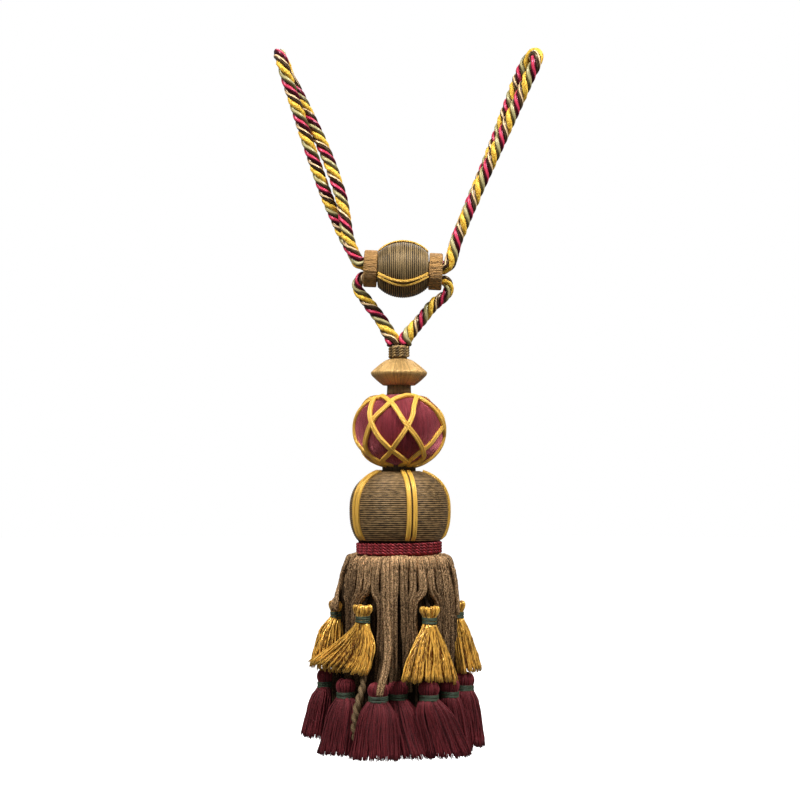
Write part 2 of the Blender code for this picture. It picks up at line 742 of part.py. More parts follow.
def small_tassel(name, place, head, skirt, colour, breadth):
    """A head tied off above a skirt of wedge-shaped locks, all one solid."""
    bm = bmesh.new()
    tie = skirt[0][0] * MM
    turn = 2 * math.pi / TASSEL_LOCKS
    tip = bm.verts.new(place.point(0, 0, 0, tie))
    rings = []
    for drop, half_width, half_depth in head:
        ring = []
        for i in range(TASSEL_LOCKS):
            side = half_width * MM * math.cos(i * turn)
            out = half_depth * MM * math.sin(i * turn)
            ring.append(place.point(drop * MM, side, out, tie))
        rings.append(add_ring(bm, ring))
    for i in range(TASSEL_LOCKS):
        bm.faces.new((tip, rings[0][i], rings[0][(i + 1) % TASSEL_LOCKS]))
    for ring, following in zip(rings, rings[1:]):
        bridge(bm, ring, following)

    centre = bm.verts.new(place.point(tie, 0, 0, tie))
    for i in range(TASSEL_LOCKS):
        root = [centre, rings[-1][i], rings[-1][(i + 1) % TASSEL_LOCKS]]
        ring = None
        for level, (drop, half_width, half_depth) in enumerate(skirt):
            inset = 0.12 * turn if level == 0 else 0.05 * turn
            uneven = 0.6 * MM * math.sin(2.1 * i + 5 * place.top.x / MM) if level == len(skirt) - 1 else 0.0
            wide = half_width * MM * (1.0 if level == 0 else breadth)
            deep = half_depth * MM
            fullness = 0.92 if level == 0 else 1.0
            section = []
            for angle, reach in ((i + 0.5, 0.14), (i + inset / turn, fullness), (i + 1 - inset / turn, fullness)):
                side = wide * reach * math.cos(angle * turn)
                out = deep * reach * math.sin(angle * turn)
                section.append(place.point(drop * MM + uneven, side, out, tie))
            following = add_ring(bm, section)
            bridge(bm, ring or root, following)
            ring = following
        bm.faces.new(ring)
    return finish(name, bm, colour)


def tassel_tie(name, place, head):
    """The thread wound round a small tassel's neck, a ring a little off the yarn."""
    bm = bmesh.new()
    top, half_width, half_depth = (value * MM for value in head[-2])
    bottom = head[-1][0] * MM
    turn = 2 * math.pi / TASSEL_LOCKS
    rings = []
    for i in range(TASSEL_LOCKS):
        ring = []
        for drop, stand in ((top, GAP), (top, TIE_OUTSTAND), (bottom, TIE_OUTSTAND), (bottom, GAP)):
            level = drop + (0.5 * MM if drop == top else -0.5 * MM)
            side = (half_width + 1.15 * stand) * math.cos(i * turn)
            out = (half_depth + 1.15 * stand) * math.sin(i * turn)
            ring.append(place.point(level, side, out, bottom))
        rings.append(add_ring(bm, ring))
    for i, ring in enumerate(rings):
        bridge(bm, ring, rings[(i + 1) % TASSEL_LOCKS])
    return finish(name, bm, "green")


def make_small_tassels():
    sets = (
        ("gold", GOLD_TASSELS, GOLD_HEAD, GOLD_SKIRT, "gold_fringe"),
        ("burgundy", BURGUNDY_TASSELS, BURGUNDY_HEAD, BURGUNDY_SKIRT, "burgundy"),
    )
    for kind, rows, head, skirt, colour in sets:
        for i, (bearing, distance, top, lean, sweep, breadth) in enumerate(rows):
            place = Place(bearing, distance, top, lean, sweep, skirt[-1][0])
            small_tassel(f"{kind}_tassel_{i + 1:02d}", place, head, skirt, colour, breadth)
            tassel_tie(f"{kind}_tie_{i + 1:02d}", place, head)


clear_scene()
make_cords()
make_slider()
make_body()
make_olive_braids()
make_lattice()
make_skirt()
make_small_tassels()
make_bullion()
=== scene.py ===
import math
import random

import bpy
import numpy as np
from mathutils import Matrix, Vector


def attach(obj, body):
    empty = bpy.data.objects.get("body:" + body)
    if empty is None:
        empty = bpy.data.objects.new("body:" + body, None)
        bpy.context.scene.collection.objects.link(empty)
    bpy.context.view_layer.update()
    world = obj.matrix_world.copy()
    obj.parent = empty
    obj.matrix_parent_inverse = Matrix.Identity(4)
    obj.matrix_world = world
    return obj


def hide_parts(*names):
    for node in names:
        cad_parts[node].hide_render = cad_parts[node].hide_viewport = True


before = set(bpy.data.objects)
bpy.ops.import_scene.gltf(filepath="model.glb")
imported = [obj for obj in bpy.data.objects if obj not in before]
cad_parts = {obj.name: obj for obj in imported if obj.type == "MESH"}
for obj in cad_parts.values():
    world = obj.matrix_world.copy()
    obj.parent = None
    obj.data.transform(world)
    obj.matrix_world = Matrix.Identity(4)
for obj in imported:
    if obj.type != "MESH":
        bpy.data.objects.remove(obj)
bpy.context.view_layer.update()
bpy.ops.object.select_all(action="DESELECT")

MM = 0.001


# Camera, soft studio light and a plain pale floor. None of these belongs to the tieback.

CAMERA_SIDE = 0.7 * MM
CAMERA_DISTANCE = 1.26
CAMERA_HEIGHT = -0.296
CAMERA_PITCH = math.radians(2.54)
VIEW_HALF_WIDTH = 0.28
FLOOR_Z = -0.62
BACKGROUND = 1.0
AMBIENT = 0.15

camera_data = bpy.data.cameras.new("camera")
camera_data.sensor_width = 36.0
camera_data.lens = 18.0 * CAMERA_DISTANCE / VIEW_HALF_WIDTH
camera = bpy.data.objects.new("camera", camera_data)
camera.location = (CAMERA_SIDE, -CAMERA_DISTANCE, CAMERA_HEIGHT)
camera.rotation_euler = (math.pi / 2 + CAMERA_PITCH, 0, 0)
bpy.context.scene.collection.objects.link(camera)
bpy.context.scene.camera = camera
bpy.context.scene.view_settings.view_transform = "Standard"

# Each lamp: name, place, what it points at, side in metres, watts.
LAMPS = (
    ("lamp_left", (-0.83, -0.70, 1.00), (0, 0, -0.30), 0.42, 30.5),
    ("lamp_right", (0.91, -0.63, 0.95), (0, 0, -0.30), 0.42, 31.0),
    ("lamp_behind", (0.10, 1.15, 0.90), (0, 0, -0.30), 0.8, 7.0),
    ("lamp_low", (0.0, -1.30, -0.50), (0, 0, -0.28), 0.8, 2.0),
)
for lamp_name, place, aim, size, watts in LAMPS:
    lamp_data = bpy.data.lights.new(lamp_name, "AREA")
    lamp_data.size = size
    lamp_data.energy = watts
    lamp = bpy.data.objects.new(lamp_name, lamp_data)
    lamp.location = place
    lamp.visible_camera = False
    lamp.rotation_euler = (Vector(aim) - Vector(place)).to_track_quat("-Z", "Y").to_euler()
    bpy.context.scene.collection.objects.link(lamp)

world = bpy.data.worlds.new("studio")
bpy.context.scene.world = world
world.use_nodes = True
sky = world.node_tree.nodes["Background"]
seen = world.node_tree.nodes.new("ShaderNodeLightPath")
level = world.node_tree.nodes.new("ShaderNodeMapRange")
level.inputs["To Min"].default_value = AMBIENT
level.inputs["To Max"].default_value = BACKGROUND
world.node_tree.links.new(seen.outputs["Is Camera Ray"], level.inputs["Value"])
world.node_tree.links.new(level.outputs["Result"], sky.inputs["Strength"])
sky.inputs["Color"].default_value = (1.0, 1.0, 1.0, 1.0)

bpy.ops.mesh.primitive_circle_add(vertices=96, radius=9.0, fill_type="NGON", location=(0, 0, FLOOR_Z))
floor = bpy.context.object
floor.name = "floor"
floor_paint = bpy.data.materials.new("floor_paint")
floor_paint.use_nodes = True
floor_shader = floor_paint.node_tree.nodes["Principled BSDF"]
floor_shader.inputs["Base Color"].default_value = (0.86, 0.86, 0.85, 1.0)
floor_shader.inputs["Roughness"].default_value = 0.9
floor_shader.inputs["Emission Color"].default_value = (1.0, 1.0, 1.0, 1.0)
floor_shader.inputs["Emission Strength"].default_value = 1.0
floor.data.materials.append(floor_paint)
floor.visible_diffuse = False
floor.visible_glossy = False


# Cords. The embrace cord is one length of four-strand cord, doubled, with an eye at each end, and
# its ends meet inside the slider. A second length of the same cord carries the tassel. Burgundy,
# brown and olive strands are smooth rayon and the gold one is crimped yarn.

CORD_RADIUS = 4.4 * MM
ROW_SPACING = 1.4
STRAND_SIDES = 12

# Points of the doubled cord's centreline, in millimetres: x, y, z.
EMBRACE_ROUTE = [
    (2.7, 4.6, -146.0), (-21.0, 4.6, -145.0), (-28.7, 4.6, -142.4), (-31.9, 4.6, -136.8),
    (-38.1, 4.7, -125.3), (-50.5, 2.3, -97.3), (-61.5, -2.0, -66.5), (-71.6, -4.7, -35.7),
    (-78.5, -7.2, -14.7), (-81.5, -9.0, -4.1), (-83.7, -6.4, 1.9), (-84.6, 0.0, 4.4), (-83.0, 6.4, 1.9),
    (-80.5, 9.0, -4.1), (-75.7, 6.4, -14.7), (-65.4, 3.6, -35.7), (-51.4, 1.2, -66.5),
    (-40.9, -2.6, -97.3), (-36.0, -4.6, -125.3), (-31.9, -4.6, -136.8), (-28.7, -4.6, -142.4),
    (-21.0, -4.6, -145.0), (27.0, -4.6, -147.1), (34.3, -4.6, -145.3), (37.3, -4.6, -139.3),
    (40.9, -4.6, -126.7), (53.2, -4.6, -97.3), (67.2, -4.6, -66.5), (81.2, -4.9, -35.7),
    (90.7, -6.8, -14.7), (95.8, -8.6, -4.1), (97.0, -6.1, 1.8), (95.6, 0.0, 4.4), (91.7, 6.1, 1.8),
    (88.1, 8.6, -4.1), (83.7, 6.2, -14.7), (76.2, 4.5, -35.7), (64.8, 4.6, -66.5), (52.2, 4.7, -97.3),
    (40.6, 4.7, -126.7), (37.3, 4.6, -139.3), (34.3, 4.6, -145.3), (27.0, 4.6, -147.1),
    (3.3, 4.6, -146.05),
]
# The tassel's loop, the same way, with how full the cord is where it is pressed.
LOOP_ROUTE = [
    (-4.3, 0.0, -201.7, 1.05), (-4.9, 0.0, -197.2, 1.15), (-8.2, 0.0, -191.4, 1.1),
    (-12.9, 0.0, -183.4, 1.0), (-19.9, 0.0, -174.3, 1.0), (-24.8, 0.0, -167.6, 0.95),
    (-28.3, 0.0, -163.5, 0.85), (-29.4, 0.0, -158.9, 0.85), (-27.2, 0.0, -154.7, 0.85),
    (-23.4, 0.0, -153.0, 0.85), (-12.0, 0.0, -153.5, 0.95), (16.0, 0.0, -154.7, 0.95),
    (29.4, 0.0, -155.5, 0.85), (33.4, 0.0, -157.1, 0.85), (35.0, 0.0, -161.3, 0.85),
    (33.3, 0.0, -165.9, 0.85), (29.0, 0.0, -169.4, 0.95), (22.8, 0.0, -174.6, 1.0),
    (16.4, 0.0, -182.7, 1.0), (8.8, 0.0, -191.4, 1.1), (4.7, 0.0, -197.2, 1.15),
    (4.3, 0.0, -201.6, 1.05),
]
# Millimetres along each cord at which its burgundy strand comes to the front: one turn lies between two.
EMBRACE_FRONTS = [
    -14, 12, 38, 64, 87, 111, 137, 162, 189, 227, 253, 280, 307, 333, 357, 386, 414, 443, 467, 495, 521, 547,
    575, 616, 642, 666, 691, 717, 743, 770, 796,
]
LOOP_FRONTS = [-2, 25, 51, 77, 104, 130, 152, 174]


def spline(knots, spacing):
    """Points at an even spacing on the smooth curve through the knots, one row of numbers each."""
    knots = np.array(knots, float)
    knots = np.vstack([2 * knots[0] - knots[1], knots, 2 * knots[-1] - knots[-2]])
    share = (np.arange(24) / 24)[:, None]
    fine = []
    for before, start, end, after in zip(knots, knots[1:], knots[2:], knots[3:]):
        curve = 2 * start + (end - before) * share
        curve = curve + (2 * before - 5 * start + 4 * end - after) * share**2
        curve = curve + (3 * start - before - 3 * end + after) * share**3
        fine.append(0.5 * curve)
    fine = np.vstack([*fine, knots[-2:-1]])
    lengths = np.concatenate([[0], np.cumsum(np.linalg.norm(np.diff(fine[:, :3], axis=0), axis=1))])
    wanted = np.linspace(0, lengths[-1], max(2, round(lengths[-1] / spacing) + 1))
    return np.stack([np.interp(wanted, lengths, column) for column in fine.T], axis=1)


def unit(rows):
    return rows / np.linalg.norm(rows, axis=-1, keepdims=True)


def travelled(places):
    return np.concatenate([[0], np.cumsum(np.linalg.norm(np.diff(places, axis=0), axis=1))])


def carried_frame(places, start_side):
    """Along, side and across directions at each place, turning no more than the line itself does."""
    along = unit(np.gradient(places, axis=0))
    sides = []
    side = np.array(start_side, float)
    for direction in along:
        side = side - direction * side.dot(direction)
        side = side / np.linalg.norm(side)
        sides.append(side)
    sides = np.array(sides)
    return along, sides, np.cross(along, sides)


def tube(places, radii, sides, frame_of=None, phase=0.0):
    """Rings of a tube round a line."""
    along, side, across = frame_of or carried_frame(places, (0.3, 1, 0.1))
    turn = np.arange(sides) * 2 * math.pi / sides + np.reshape(phase, (-1, 1))
    radii = np.broadcast_to(np.asarray(radii, float), (len(places),))[:, None, None]
    ring = side[:, None] * np.cos(turn)[..., None] + across[:, None] * np.sin(turn)[..., None]
    return places[:, None] + ring * radii


def laid_strands(places, radii, strands, turns, sides, start_side, plump=1.0, highlight_lift=0.0):
    """The tubes of the strands of a cord, which have made these turns at each place along its line.

    The lift turns the start of each ring from outwards towards upwards, which moves the rope strands' painted
    highlight towards their upper, lit side."""
    along, side, across = carried_frame(places, start_side)
    share = 1 / (1 + math.sin(math.pi / strands))
    made = []
    for strand in range(strands):
        turn = (2 * math.pi * (turns + strand / strands))[:, None]
        away = side * np.cos(turn) + across * np.sin(turn)
        line = places + away * np.asarray(radii)[:, None] * share
        heading = unit(np.gradient(line, axis=0))
        outward = unit(away - heading * np.sum(away * heading, axis=1, keepdims=True))
        own = (heading, outward, np.cross(heading, outward))
        phase = highlight_lift * own[2][:, 2]
        made.append(tube(line, np.asarray(radii) * (1 - share) * plump, sides, own, phase))
    return made


def woven(name, lofts, materials):
    """One mesh object of closed lofts: (rings, tone, material number). Rings are rows of points,
    and the tone and the material number may differ from row to row.

    The UV map named thread holds the share of the way round, and the metres along."""
    places, corners, totals, uv, tones, kinds = [], [], [], [], [], []
    start = 0
    for rings, tone, kind in lofts:
        rows, sides = rings.shape[:2]
        index = start + np.arange(rows * sides).reshape(rows, sides)
        start += rows * sides
        places.append(rings.reshape(-1, 3))
        tones.append(np.repeat(np.broadcast_to(np.asarray(tone, np.float32), (rows,)), sides))
        following = np.roll(index, -1, axis=1)
        quads = np.stack([index[:-1], following[:-1], following[1:], index[1:]], axis=-1)
        corners.append(quads.reshape(-1))
        totals.append(np.full(quads.size // 4, 4))
        along = travelled(rings.mean(axis=1))
        across = np.arange(sides) / sides
        u = np.stack([across, across + 1 / sides, across + 1 / sides, across], axis=-1)
        v = np.stack([along[:-1], along[:-1], along[1:], along[1:]], axis=-1)[:, None, :]
        whole = (rows - 1, sides, 4)
        uv.append(np.stack([np.broadcast_to(u, whole), np.broadcast_to(v, whole)], axis=-1).reshape(-1, 2))
        row_kinds = np.broadcast_to(kind, (rows,))
        kinds.append(np.repeat(row_kinds[:-1], sides))
        for ring, end in ((index[0][::-1], 0), (index[-1], -1)):
            corners.append(ring)
            totals.append(np.array([sides]))
            uv.append(np.stack([np.arange(sides) / sides, np.full(sides, along[end])], axis=-1))
            kinds.append(row_kinds[end:][:1])
    places, corners, totals = np.vstack(places), np.concatenate(corners), np.concatenate(totals)
    mesh = bpy.data.meshes.new(name)
    mesh.vertices.add(len(places))
    mesh.vertices.foreach_set("co", places.astype(np.float32).ravel())
    mesh.loops.add(len(corners))
    mesh.loops.foreach_set("vertex_index", corners.astype(np.int32))
    mesh.polygons.add(len(totals))
    mesh.polygons.foreach_set("loop_start", np.concatenate([[0], np.cumsum(totals)[:-1]]).astype(np.int32))
    mesh.polygons.foreach_set("material_index", np.concatenate(kinds).astype(np.int32))
    mesh.update(calc_edges=True)
    mesh.uv_layers.new(name="thread").data.foreach_set("uv", np.vstack(uv).astype(np.float32).ravel())
    mesh.attributes.new("tone", "FLOAT", "POINT").data.foreach_set("value", np.concatenate(tones))
    mesh.shade_smooth()
    for material in materials:
        mesh.materials.append(material)
    made = bpy.data.objects.new(name, mesh)
    bpy.context.scene.collection.objects.link(made)
    return made


def feed(tree, socket, value):
    """Links another socket into a socket, or sets a number on it."""
    if isinstance(value, bpy.types.NodeSocket):
        tree.links.new(value, socket)
    else:
        socket.default_value = value


def add_node(tree, kind, values=None, **settings):
    """A node with its settings given by name, and each input a number or the socket that feeds it."""
    node = tree.nodes.new(kind)
    for setting, value in settings.items():
        setattr(node, setting, value)
    for name, value in (values or {}).items():
        feed(tree, node.inputs[name], value)
    return node


def calculated(tree, operation, *values):
    """The output of a Math node on sockets or numbers."""
    node = add_node(tree, "ShaderNodeMath", operation=operation)
    for socket, value in zip(node.inputs, values):
        feed(tree, socket, value)
    return node.outputs[0]


def object_noise(tree, scale, detail, stretch=(1.0, 1.0, 1.0), roughness=0.5):
    """Noise fixed in the piece, finer along an axis that stretch makes larger."""
    where = add_node(tree, "ShaderNodeTexCoord")
    stretched = add_node(tree, "ShaderNodeMapping", {"Vector": where.outputs["Object"], "Scale": stretch})
    values = {"Vector": stretched.outputs[0], "Scale": scale, "Detail": detail, "Roughness": roughness}
    return add_node(tree, "ShaderNodeTexNoise", values).outputs["Fac"]


def stored(tree, name):
    """A value that the mesh holds at each of its points."""
    return add_node(tree, "ShaderNodeAttribute", attribute_name=name).outputs["Fac"]


def new_group(name, inputs, outputs):
    """An empty shader node group with named float or vector inputs and float outputs."""
    tree = bpy.data.node_groups.new(name, "ShaderNodeTree")
    for socket_name, kind, value in inputs:
        socket = tree.interface.new_socket(socket_name, in_out="INPUT", socket_type=kind)
        if value is not None:
            socket.default_value = value
    for socket_name in outputs:
        tree.interface.new_socket(socket_name, in_out="OUTPUT", socket_type="NodeSocketFloat")
    return tree, tree.nodes.new("NodeGroupInput").outputs, tree.nodes.new("NodeGroupOutput").inputs


def thread_lines_group():
    """Threads laid side by side: Across counts them, Along is in metres. Gives height, and tone with painted
    shade at each thread's edges.
    """
    tree, given, result = new_group(
        "thread_lines",
        [
            ("Across", "NodeSocketFloat", 0.0),
            ("Along", "NodeSocketFloat", 0.0),
            ("Wander", "NodeSocketFloat", 0.3),
            ("Grain", "NodeSocketFloat", 900.0),
        ],
        ["Height", "Tone"],
    )
    where = add_node(tree, "ShaderNodeCombineXYZ", {
        "X": calculated(tree, "MULTIPLY", given["Across"], 0.35),
        "Y": calculated(tree, "MULTIPLY", given["Along"], 160.0),
    })
    drift = add_node(tree, "ShaderNodeTexNoise", {"Vector": where.outputs[0], "Scale": 1.0, "Detail": 1.0})
    shifted = calculated(tree, "SUBTRACT", drift.outputs["Fac"], 0.5)
    shifted = calculated(tree, "MULTIPLY_ADD", shifted, given["Wander"], given["Across"])
    number = calculated(tree, "FLOOR", shifted)
    place = calculated(tree, "FRACT", shifted)
    round_top = calculated(tree, "SINE", calculated(tree, "MULTIPLY", place, math.pi))
    tree.links.new(round_top, result["Height"])
    own = add_node(tree, "ShaderNodeTexWhiteNoise", {"W": number}, noise_dimensions="1D")
    flecks_at = add_node(tree, "ShaderNodeCombineXYZ", {
        "X": number, "Y": calculated(tree, "MULTIPLY", given["Along"], given["Grain"]),
    })
    flecks = add_node(tree, "ShaderNodeTexNoise", {
        "Vector": flecks_at.outputs[0], "Scale": 1.0, "Detail": 2.0,
    })
    tone = calculated(tree, "MULTIPLY_ADD", own.outputs["Value"], 0.45, flecks.outputs["Fac"])
    # Painted light and shade: each thread is lighter on its crest and darker at its edges.
    tone = calculated(tree, "MULTIPLY_ADD", round_top, 0.5, tone)
    tree.links.new(calculated(tree, "MULTIPLY", tone, 0.68), result["Tone"])
    return tree


THREAD_LINES = thread_lines_group()


def yarn(name, dark, light, roughness=0.5, sheen=0.0, specular=0.3, lustre=0.0, gleam=(1.0, 1.0, 1.0)):
    """A material and its shader, with a colour ramp from dark to light waiting for a tone.

    Lustre and gleam give rayon and silk highlights of the thread's own colour."""
    material = bpy.data.materials.new(name)
    material.use_nodes = True
    tree = material.node_tree
    shader = tree.nodes["Principled BSDF"]
    shader.inputs["Roughness"].default_value = roughness
    shader.inputs["Sheen Weight"].default_value = sheen
    shader.inputs["Sheen Roughness"].default_value = 0.4
    shader.inputs["Sheen Tint"].default_value = (*gleam, 1.0)
    shader.inputs["Specular IOR Level"].default_value = specular
    shader.inputs["Specular Tint"].default_value = (*gleam, 1.0)
    shader.inputs["Metallic"].default_value = lustre
    ramp = add_node(tree, "ShaderNodeMix", data_type="RGBA")
    ramp.inputs["A"].default_value = (*dark, 1.0)
    ramp.inputs["B"].default_value = (*light, 1.0)
    tree.links.new(ramp.outputs["Result"], shader.inputs["Base Color"])
    return material, tree, shader, ramp.inputs["Factor"]


def raise_bump(tree, shader, height, depth, strength=1.0):
    bump = add_node(tree, "ShaderNodeBump", {"Strength": strength, "Distance": depth, "Height": height})
    tree.links.new(bump.outputs["Normal"], shader.inputs["Normal"])


def thread_lines(tree, across, along, wander, grain=900.0):
    lines = add_node(tree, "ShaderNodeGroup", node_tree=THREAD_LINES)
    for name, value in (("Across", across), ("Along", along), ("Wander", wander), ("Grain", grain)):
        feed(tree, lines.inputs[name], value)
    return lines.outputs["Height"], lines.outputs["Tone"]


def thread_uv(tree):
    """The share round and the metres along, from the mesh's own UV map."""
    uv = add_node(tree, "ShaderNodeUVMap", uv_map="thread")
    split = add_node(tree, "ShaderNodeSeparateXYZ", {"Vector": uv.outputs["UV"]})
    return split.outputs["X"], split.outputs["Y"]


YARN_WANDER = 0.4


def spun_yarn(
    name, dark, light, count, twist, relief, roughness=0.5, sharp=1.6, lustre=0.0, specular=0.3,
    gleam=(1.0, 1.0, 1.0),
):
    """Yarn of so many threads round, twisted so many turns a metre, on a piece with a thread UV."""
    material, tree, shader, factor = yarn(name, dark, light, roughness, 0.0, specular, lustre, gleam)
    u, v = thread_uv(tree)
    slant = calculated(tree, "MULTIPLY", v, twist * count)
    across = calculated(tree, "MULTIPLY_ADD", u, count, slant)
    height, tone = thread_lines(tree, across, v, YARN_WANDER)
    tone = calculated(tree, "MULTIPLY_ADD", stored(tree, "tone"), 0.35, tone)
    tree.links.new(calculated(tree, "POWER", tone, sharp), factor)
    raise_bump(tree, shader, height, relief)
    return material


def satin_strand(name, dark, light, edge, full, roughness, gleam):
    """Smooth rayon over a core, with a painted highlight: a pale line painted along each strand's crest, and
    the filaments beside it dark.

    Edge and full are the cosines between which the painted highlight comes in."""
    material, tree, shader, factor = yarn(name, dark, light, roughness, 0.0, 0.6, 0.0, gleam)
    u, v = thread_uv(tree)
    filaments = calculated(tree, "MULTIPLY_ADD", u, 9.0, calculated(tree, "MULTIPLY", v, -70.0))
    height, tone = thread_lines(tree, filaments, v, YARN_WANDER)
    # Painted highlight: the pale line is painted where the strand faces outwards.
    facing = calculated(tree, "COSINE", calculated(tree, "MULTIPLY", u, 2 * math.pi))
    line = add_node(tree, "ShaderNodeMapRange", {"Value": facing, "From Min": edge, "From Max": full})
    uneven = calculated(tree, "MULTIPLY_ADD", tone, 0.45, -0.29)
    tree.links.new(calculated(tree, "ADD", line.outputs["Result"], uneven), factor)
    raise_bump(tree, shader, height, 0.05 * MM)
    return material


# Each satin strand's light colour is its painted highlight.
rope_burgundy = satin_strand(
    "rope_burgundy", (0.026, 0.002, 0.004), (0.72, 0.050, 0.11), 0.70, 1.05, 0.32, (1.0, 0.35, 0.50)
)
rope_brown = satin_strand(
    "rope_brown", (0.022, 0.008, 0.004), (0.90, 0.62, 0.33), 0.91, 1.01, 0.28, (1.0, 0.75, 0.48)
)
rope_olive = satin_strand(
    "rope_olive", (0.070, 0.054, 0.018), (0.50, 0.43, 0.19), 0.62, 1.08, 0.34, (1.0, 0.95, 0.62)
)


def crimped_gold():
    """Crimped gold yarn: short curls, painted bright on their tops and brown in the gaps between them, as
    painted light and shade.
    """
    material, tree, shader, factor = yarn(
        "rope_gold", (0.60, 0.25, 0.013), (1.0, 0.67, 0.085), 0.46, 0.35, 0.5, 0.0, (1.0, 0.85, 0.4)
    )
    curls = object_noise(tree, 900.0, 3.0, roughness=0.6)
    spread = add_node(tree, "ShaderNodeMapRange", {"Value": curls, "From Min": 0.39, "From Max": 0.57})
    tree.links.new(spread.outputs["Result"], factor)
    raise_bump(tree, shader, curls, 0.45 * MM, 0.7)
    return material


rope_gold = crimped_gold()
ROPE_STRANDS = [rope_burgundy, rope_brown, rope_gold, rope_olive]
TOWARDS_FRONT = np.array([0.0, -1.0, 0.0])


def crimped(rings, height, seed):
    """Rings moved in and out a little, as crimped yarn lies."""
    rows, sides = rings.shape[:2]
    random_rows = np.random.default_rng(seed)
    lumps = random_rows.normal(0, 1, (rows, sides))
    lumps = (lumps + np.roll(lumps, 1, axis=0) + np.roll(lumps, 1, axis=1)) / 1.7
    middle = rings.mean(axis=1, keepdims=True)
    return middle + (rings - middle) * (1 + height * lumps[:, :, None])


def fitted(made, node):
    """Puts a finished piece in its solid's place, on the tieback's one body."""
    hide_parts(node)
    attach(made, "root")


def rope(name, node, route, fronts, turned_before=-1.0):
    """Four-strand cord on a route. Before a length in metres its strands lie in the opposite order."""
    points = spline([(*row, 1.0)[:4] for row in route], ROW_SPACING)
    places, fullness = points[:, :3] * MM, points[:, 3]
    at = travelled(places)
    start = np.cross(places[1] - places[0], (0, 1, 0))
    side, across = carried_frame(places, start)[1:]
    facing = np.unwrap(np.arctan2(across @ TOWARDS_FRONT, side @ TOWARDS_FRONT)) / (2 * math.pi)
    front_at = np.array(fronts) * MM
    own_turns = np.interp(front_at, at, facing) - np.arange(len(fronts))
    turns = np.interp(at, front_at, own_turns)
    # A lift of 0.9 sets the strands' painted highlight towards their upper side.
    strands = laid_strands(places, CORD_RADIUS * fullness, 4, turns, STRAND_SIDES, start, 1.04, 0.9)
    lofts = []
    for i, rings in enumerate(strands):
        kinds = np.where(at < turned_before, (-i) % 4, i)
        lofts.append((crimped(rings, 0.09, 3) if i == 2 else rings, 0.5, kinds))
    made = woven(name, lofts, ROPE_STRANDS)
    fitted(made, node)


# In metres along the embrace cord, in the middle of the slider.
ORDER_CHANGES_AT = 0.4
rope("embrace_rope", "embrace_cord", EMBRACE_ROUTE, EMBRACE_FRONTS, ORDER_CHANGES_AT)
rope("tassel_loop_rope", "tassel_loop_cord", LOOP_ROUTE, LOOP_FRONTS)


# Slider ball: a bored wooden bead wound round and round with ribbed olive silk, so that its ribs
# circle the hole through it. Both cords pass through the hole.

SLIDER_CENTRE = (2.8 * MM, 0.0, -148.75 * MM)
SLIDER_TILT = math.radians(2.6)
BEAD_TILT = math.radians(0.6)
SLIDER_BALL_RADIUS = 19.5 * MM
SLIDER_BALL_LENGTH_RADIUS = 22.5 * MM
SLIDER_BALL_HALF_LENGTH = 17.9 * MM
SLIDER_BORE = 10.25 * MM
RIB_PITCH = 1.48 * MM
RIB_DEPTH = 0.42 * MM


def spun_form(name, profile, sides):
    """A turned piece: an edge drawn down its profile of (radius, height) rows, spun round Z."""
    first = (profile[0][0], 0, profile[0][1])
    bpy.ops.mesh.primitive_plane_add(size=0.1 * MM, location=first)
    made = bpy.context.object
    made.name = made.data.name = name
    bpy.ops.object.transform_apply(location=True)
    bpy.ops.object.mode_set(mode="EDIT")
    bpy.ops.mesh.merge(type="CENTER")
    for (radius, z), (wider, lower) in zip(profile, profile[1:]):
        step = (wider - radius, 0, lower - z)
        bpy.ops.mesh.extrude_region_move(TRANSFORM_OT_translate={"value": step})
    bpy.ops.mesh.select_all(action="SELECT")
    bpy.ops.mesh.spin(steps=sides, angle=2 * math.pi, center=(0, 0, 0), axis=(0, 0, 1))
    bpy.ops.mesh.select_all(action="SELECT")
    bpy.ops.mesh.remove_doubles(threshold=0.01 * MM)
    bpy.ops.mesh.normals_make_consistent(inside=False)
    bpy.ops.object.mode_set(mode="OBJECT")
    made.data.shade_smooth()
    made.select_set(False)
    return made


def rounded(offset, reach, roundness):
    """How wide a rounded form still is, from 1 to 0, at an offset from its middle."""
    return max(0.0, 1 - abs(offset / reach) ** roundness) ** (1 / roundness)


def ribbed(outline, pitch, depth):
    """The profile rows of an outline with a round rib at every pitch along it."""
    outline = np.array(outline)
    at = travelled(np.column_stack([outline, np.zeros(len(outline))]))
    ribs = round(at[-1] / pitch)
    wanted = np.linspace(0, at[-1], 4 * ribs + 1)
    radius = np.interp(wanted, at, outline[:, 0])
    z = np.interp(wanted, at, outline[:, 1])
    slope = np.gradient(np.column_stack([radius, z]), axis=0)
    slope = slope / np.linalg.norm(slope, axis=1, keepdims=True)
    crest = np.abs(np.sin(math.pi * np.arange(4 * ribs + 1) / 4))
    lift = depth * (crest - 0.8)
    return list(zip(radius - slope[:, 1] * lift, z + slope[:, 0] * lift)), crest


def mark_crest(made, profile, crest):
    """Stores how far up its rib each point is, for the material's painted light on the crests and painted
    shade in the grooves.
    """
    heights = np.array([z for _, z in profile])
    order = np.argsort(heights)
    mesh = made.data
    at = np.array([vertex.co.z for vertex in mesh.vertices])
    nearest = np.interp(at, heights[order], np.array(crest)[order]).astype(np.float32)
    mesh.attributes.new("crest", "FLOAT", "POINT").data.foreach_set("value", nearest)


def lie_on_slider_axis(made, tilt):
    """Turns a form spun round Z so that it lies on the slider's axis, its place in its mesh."""
    made.data.transform(
        Matrix.Translation(SLIDER_CENTRE)
        @ Matrix.Rotation(tilt, 4, "Y")
        @ Matrix.Rotation(math.pi / 2, 4, "Y")
    )


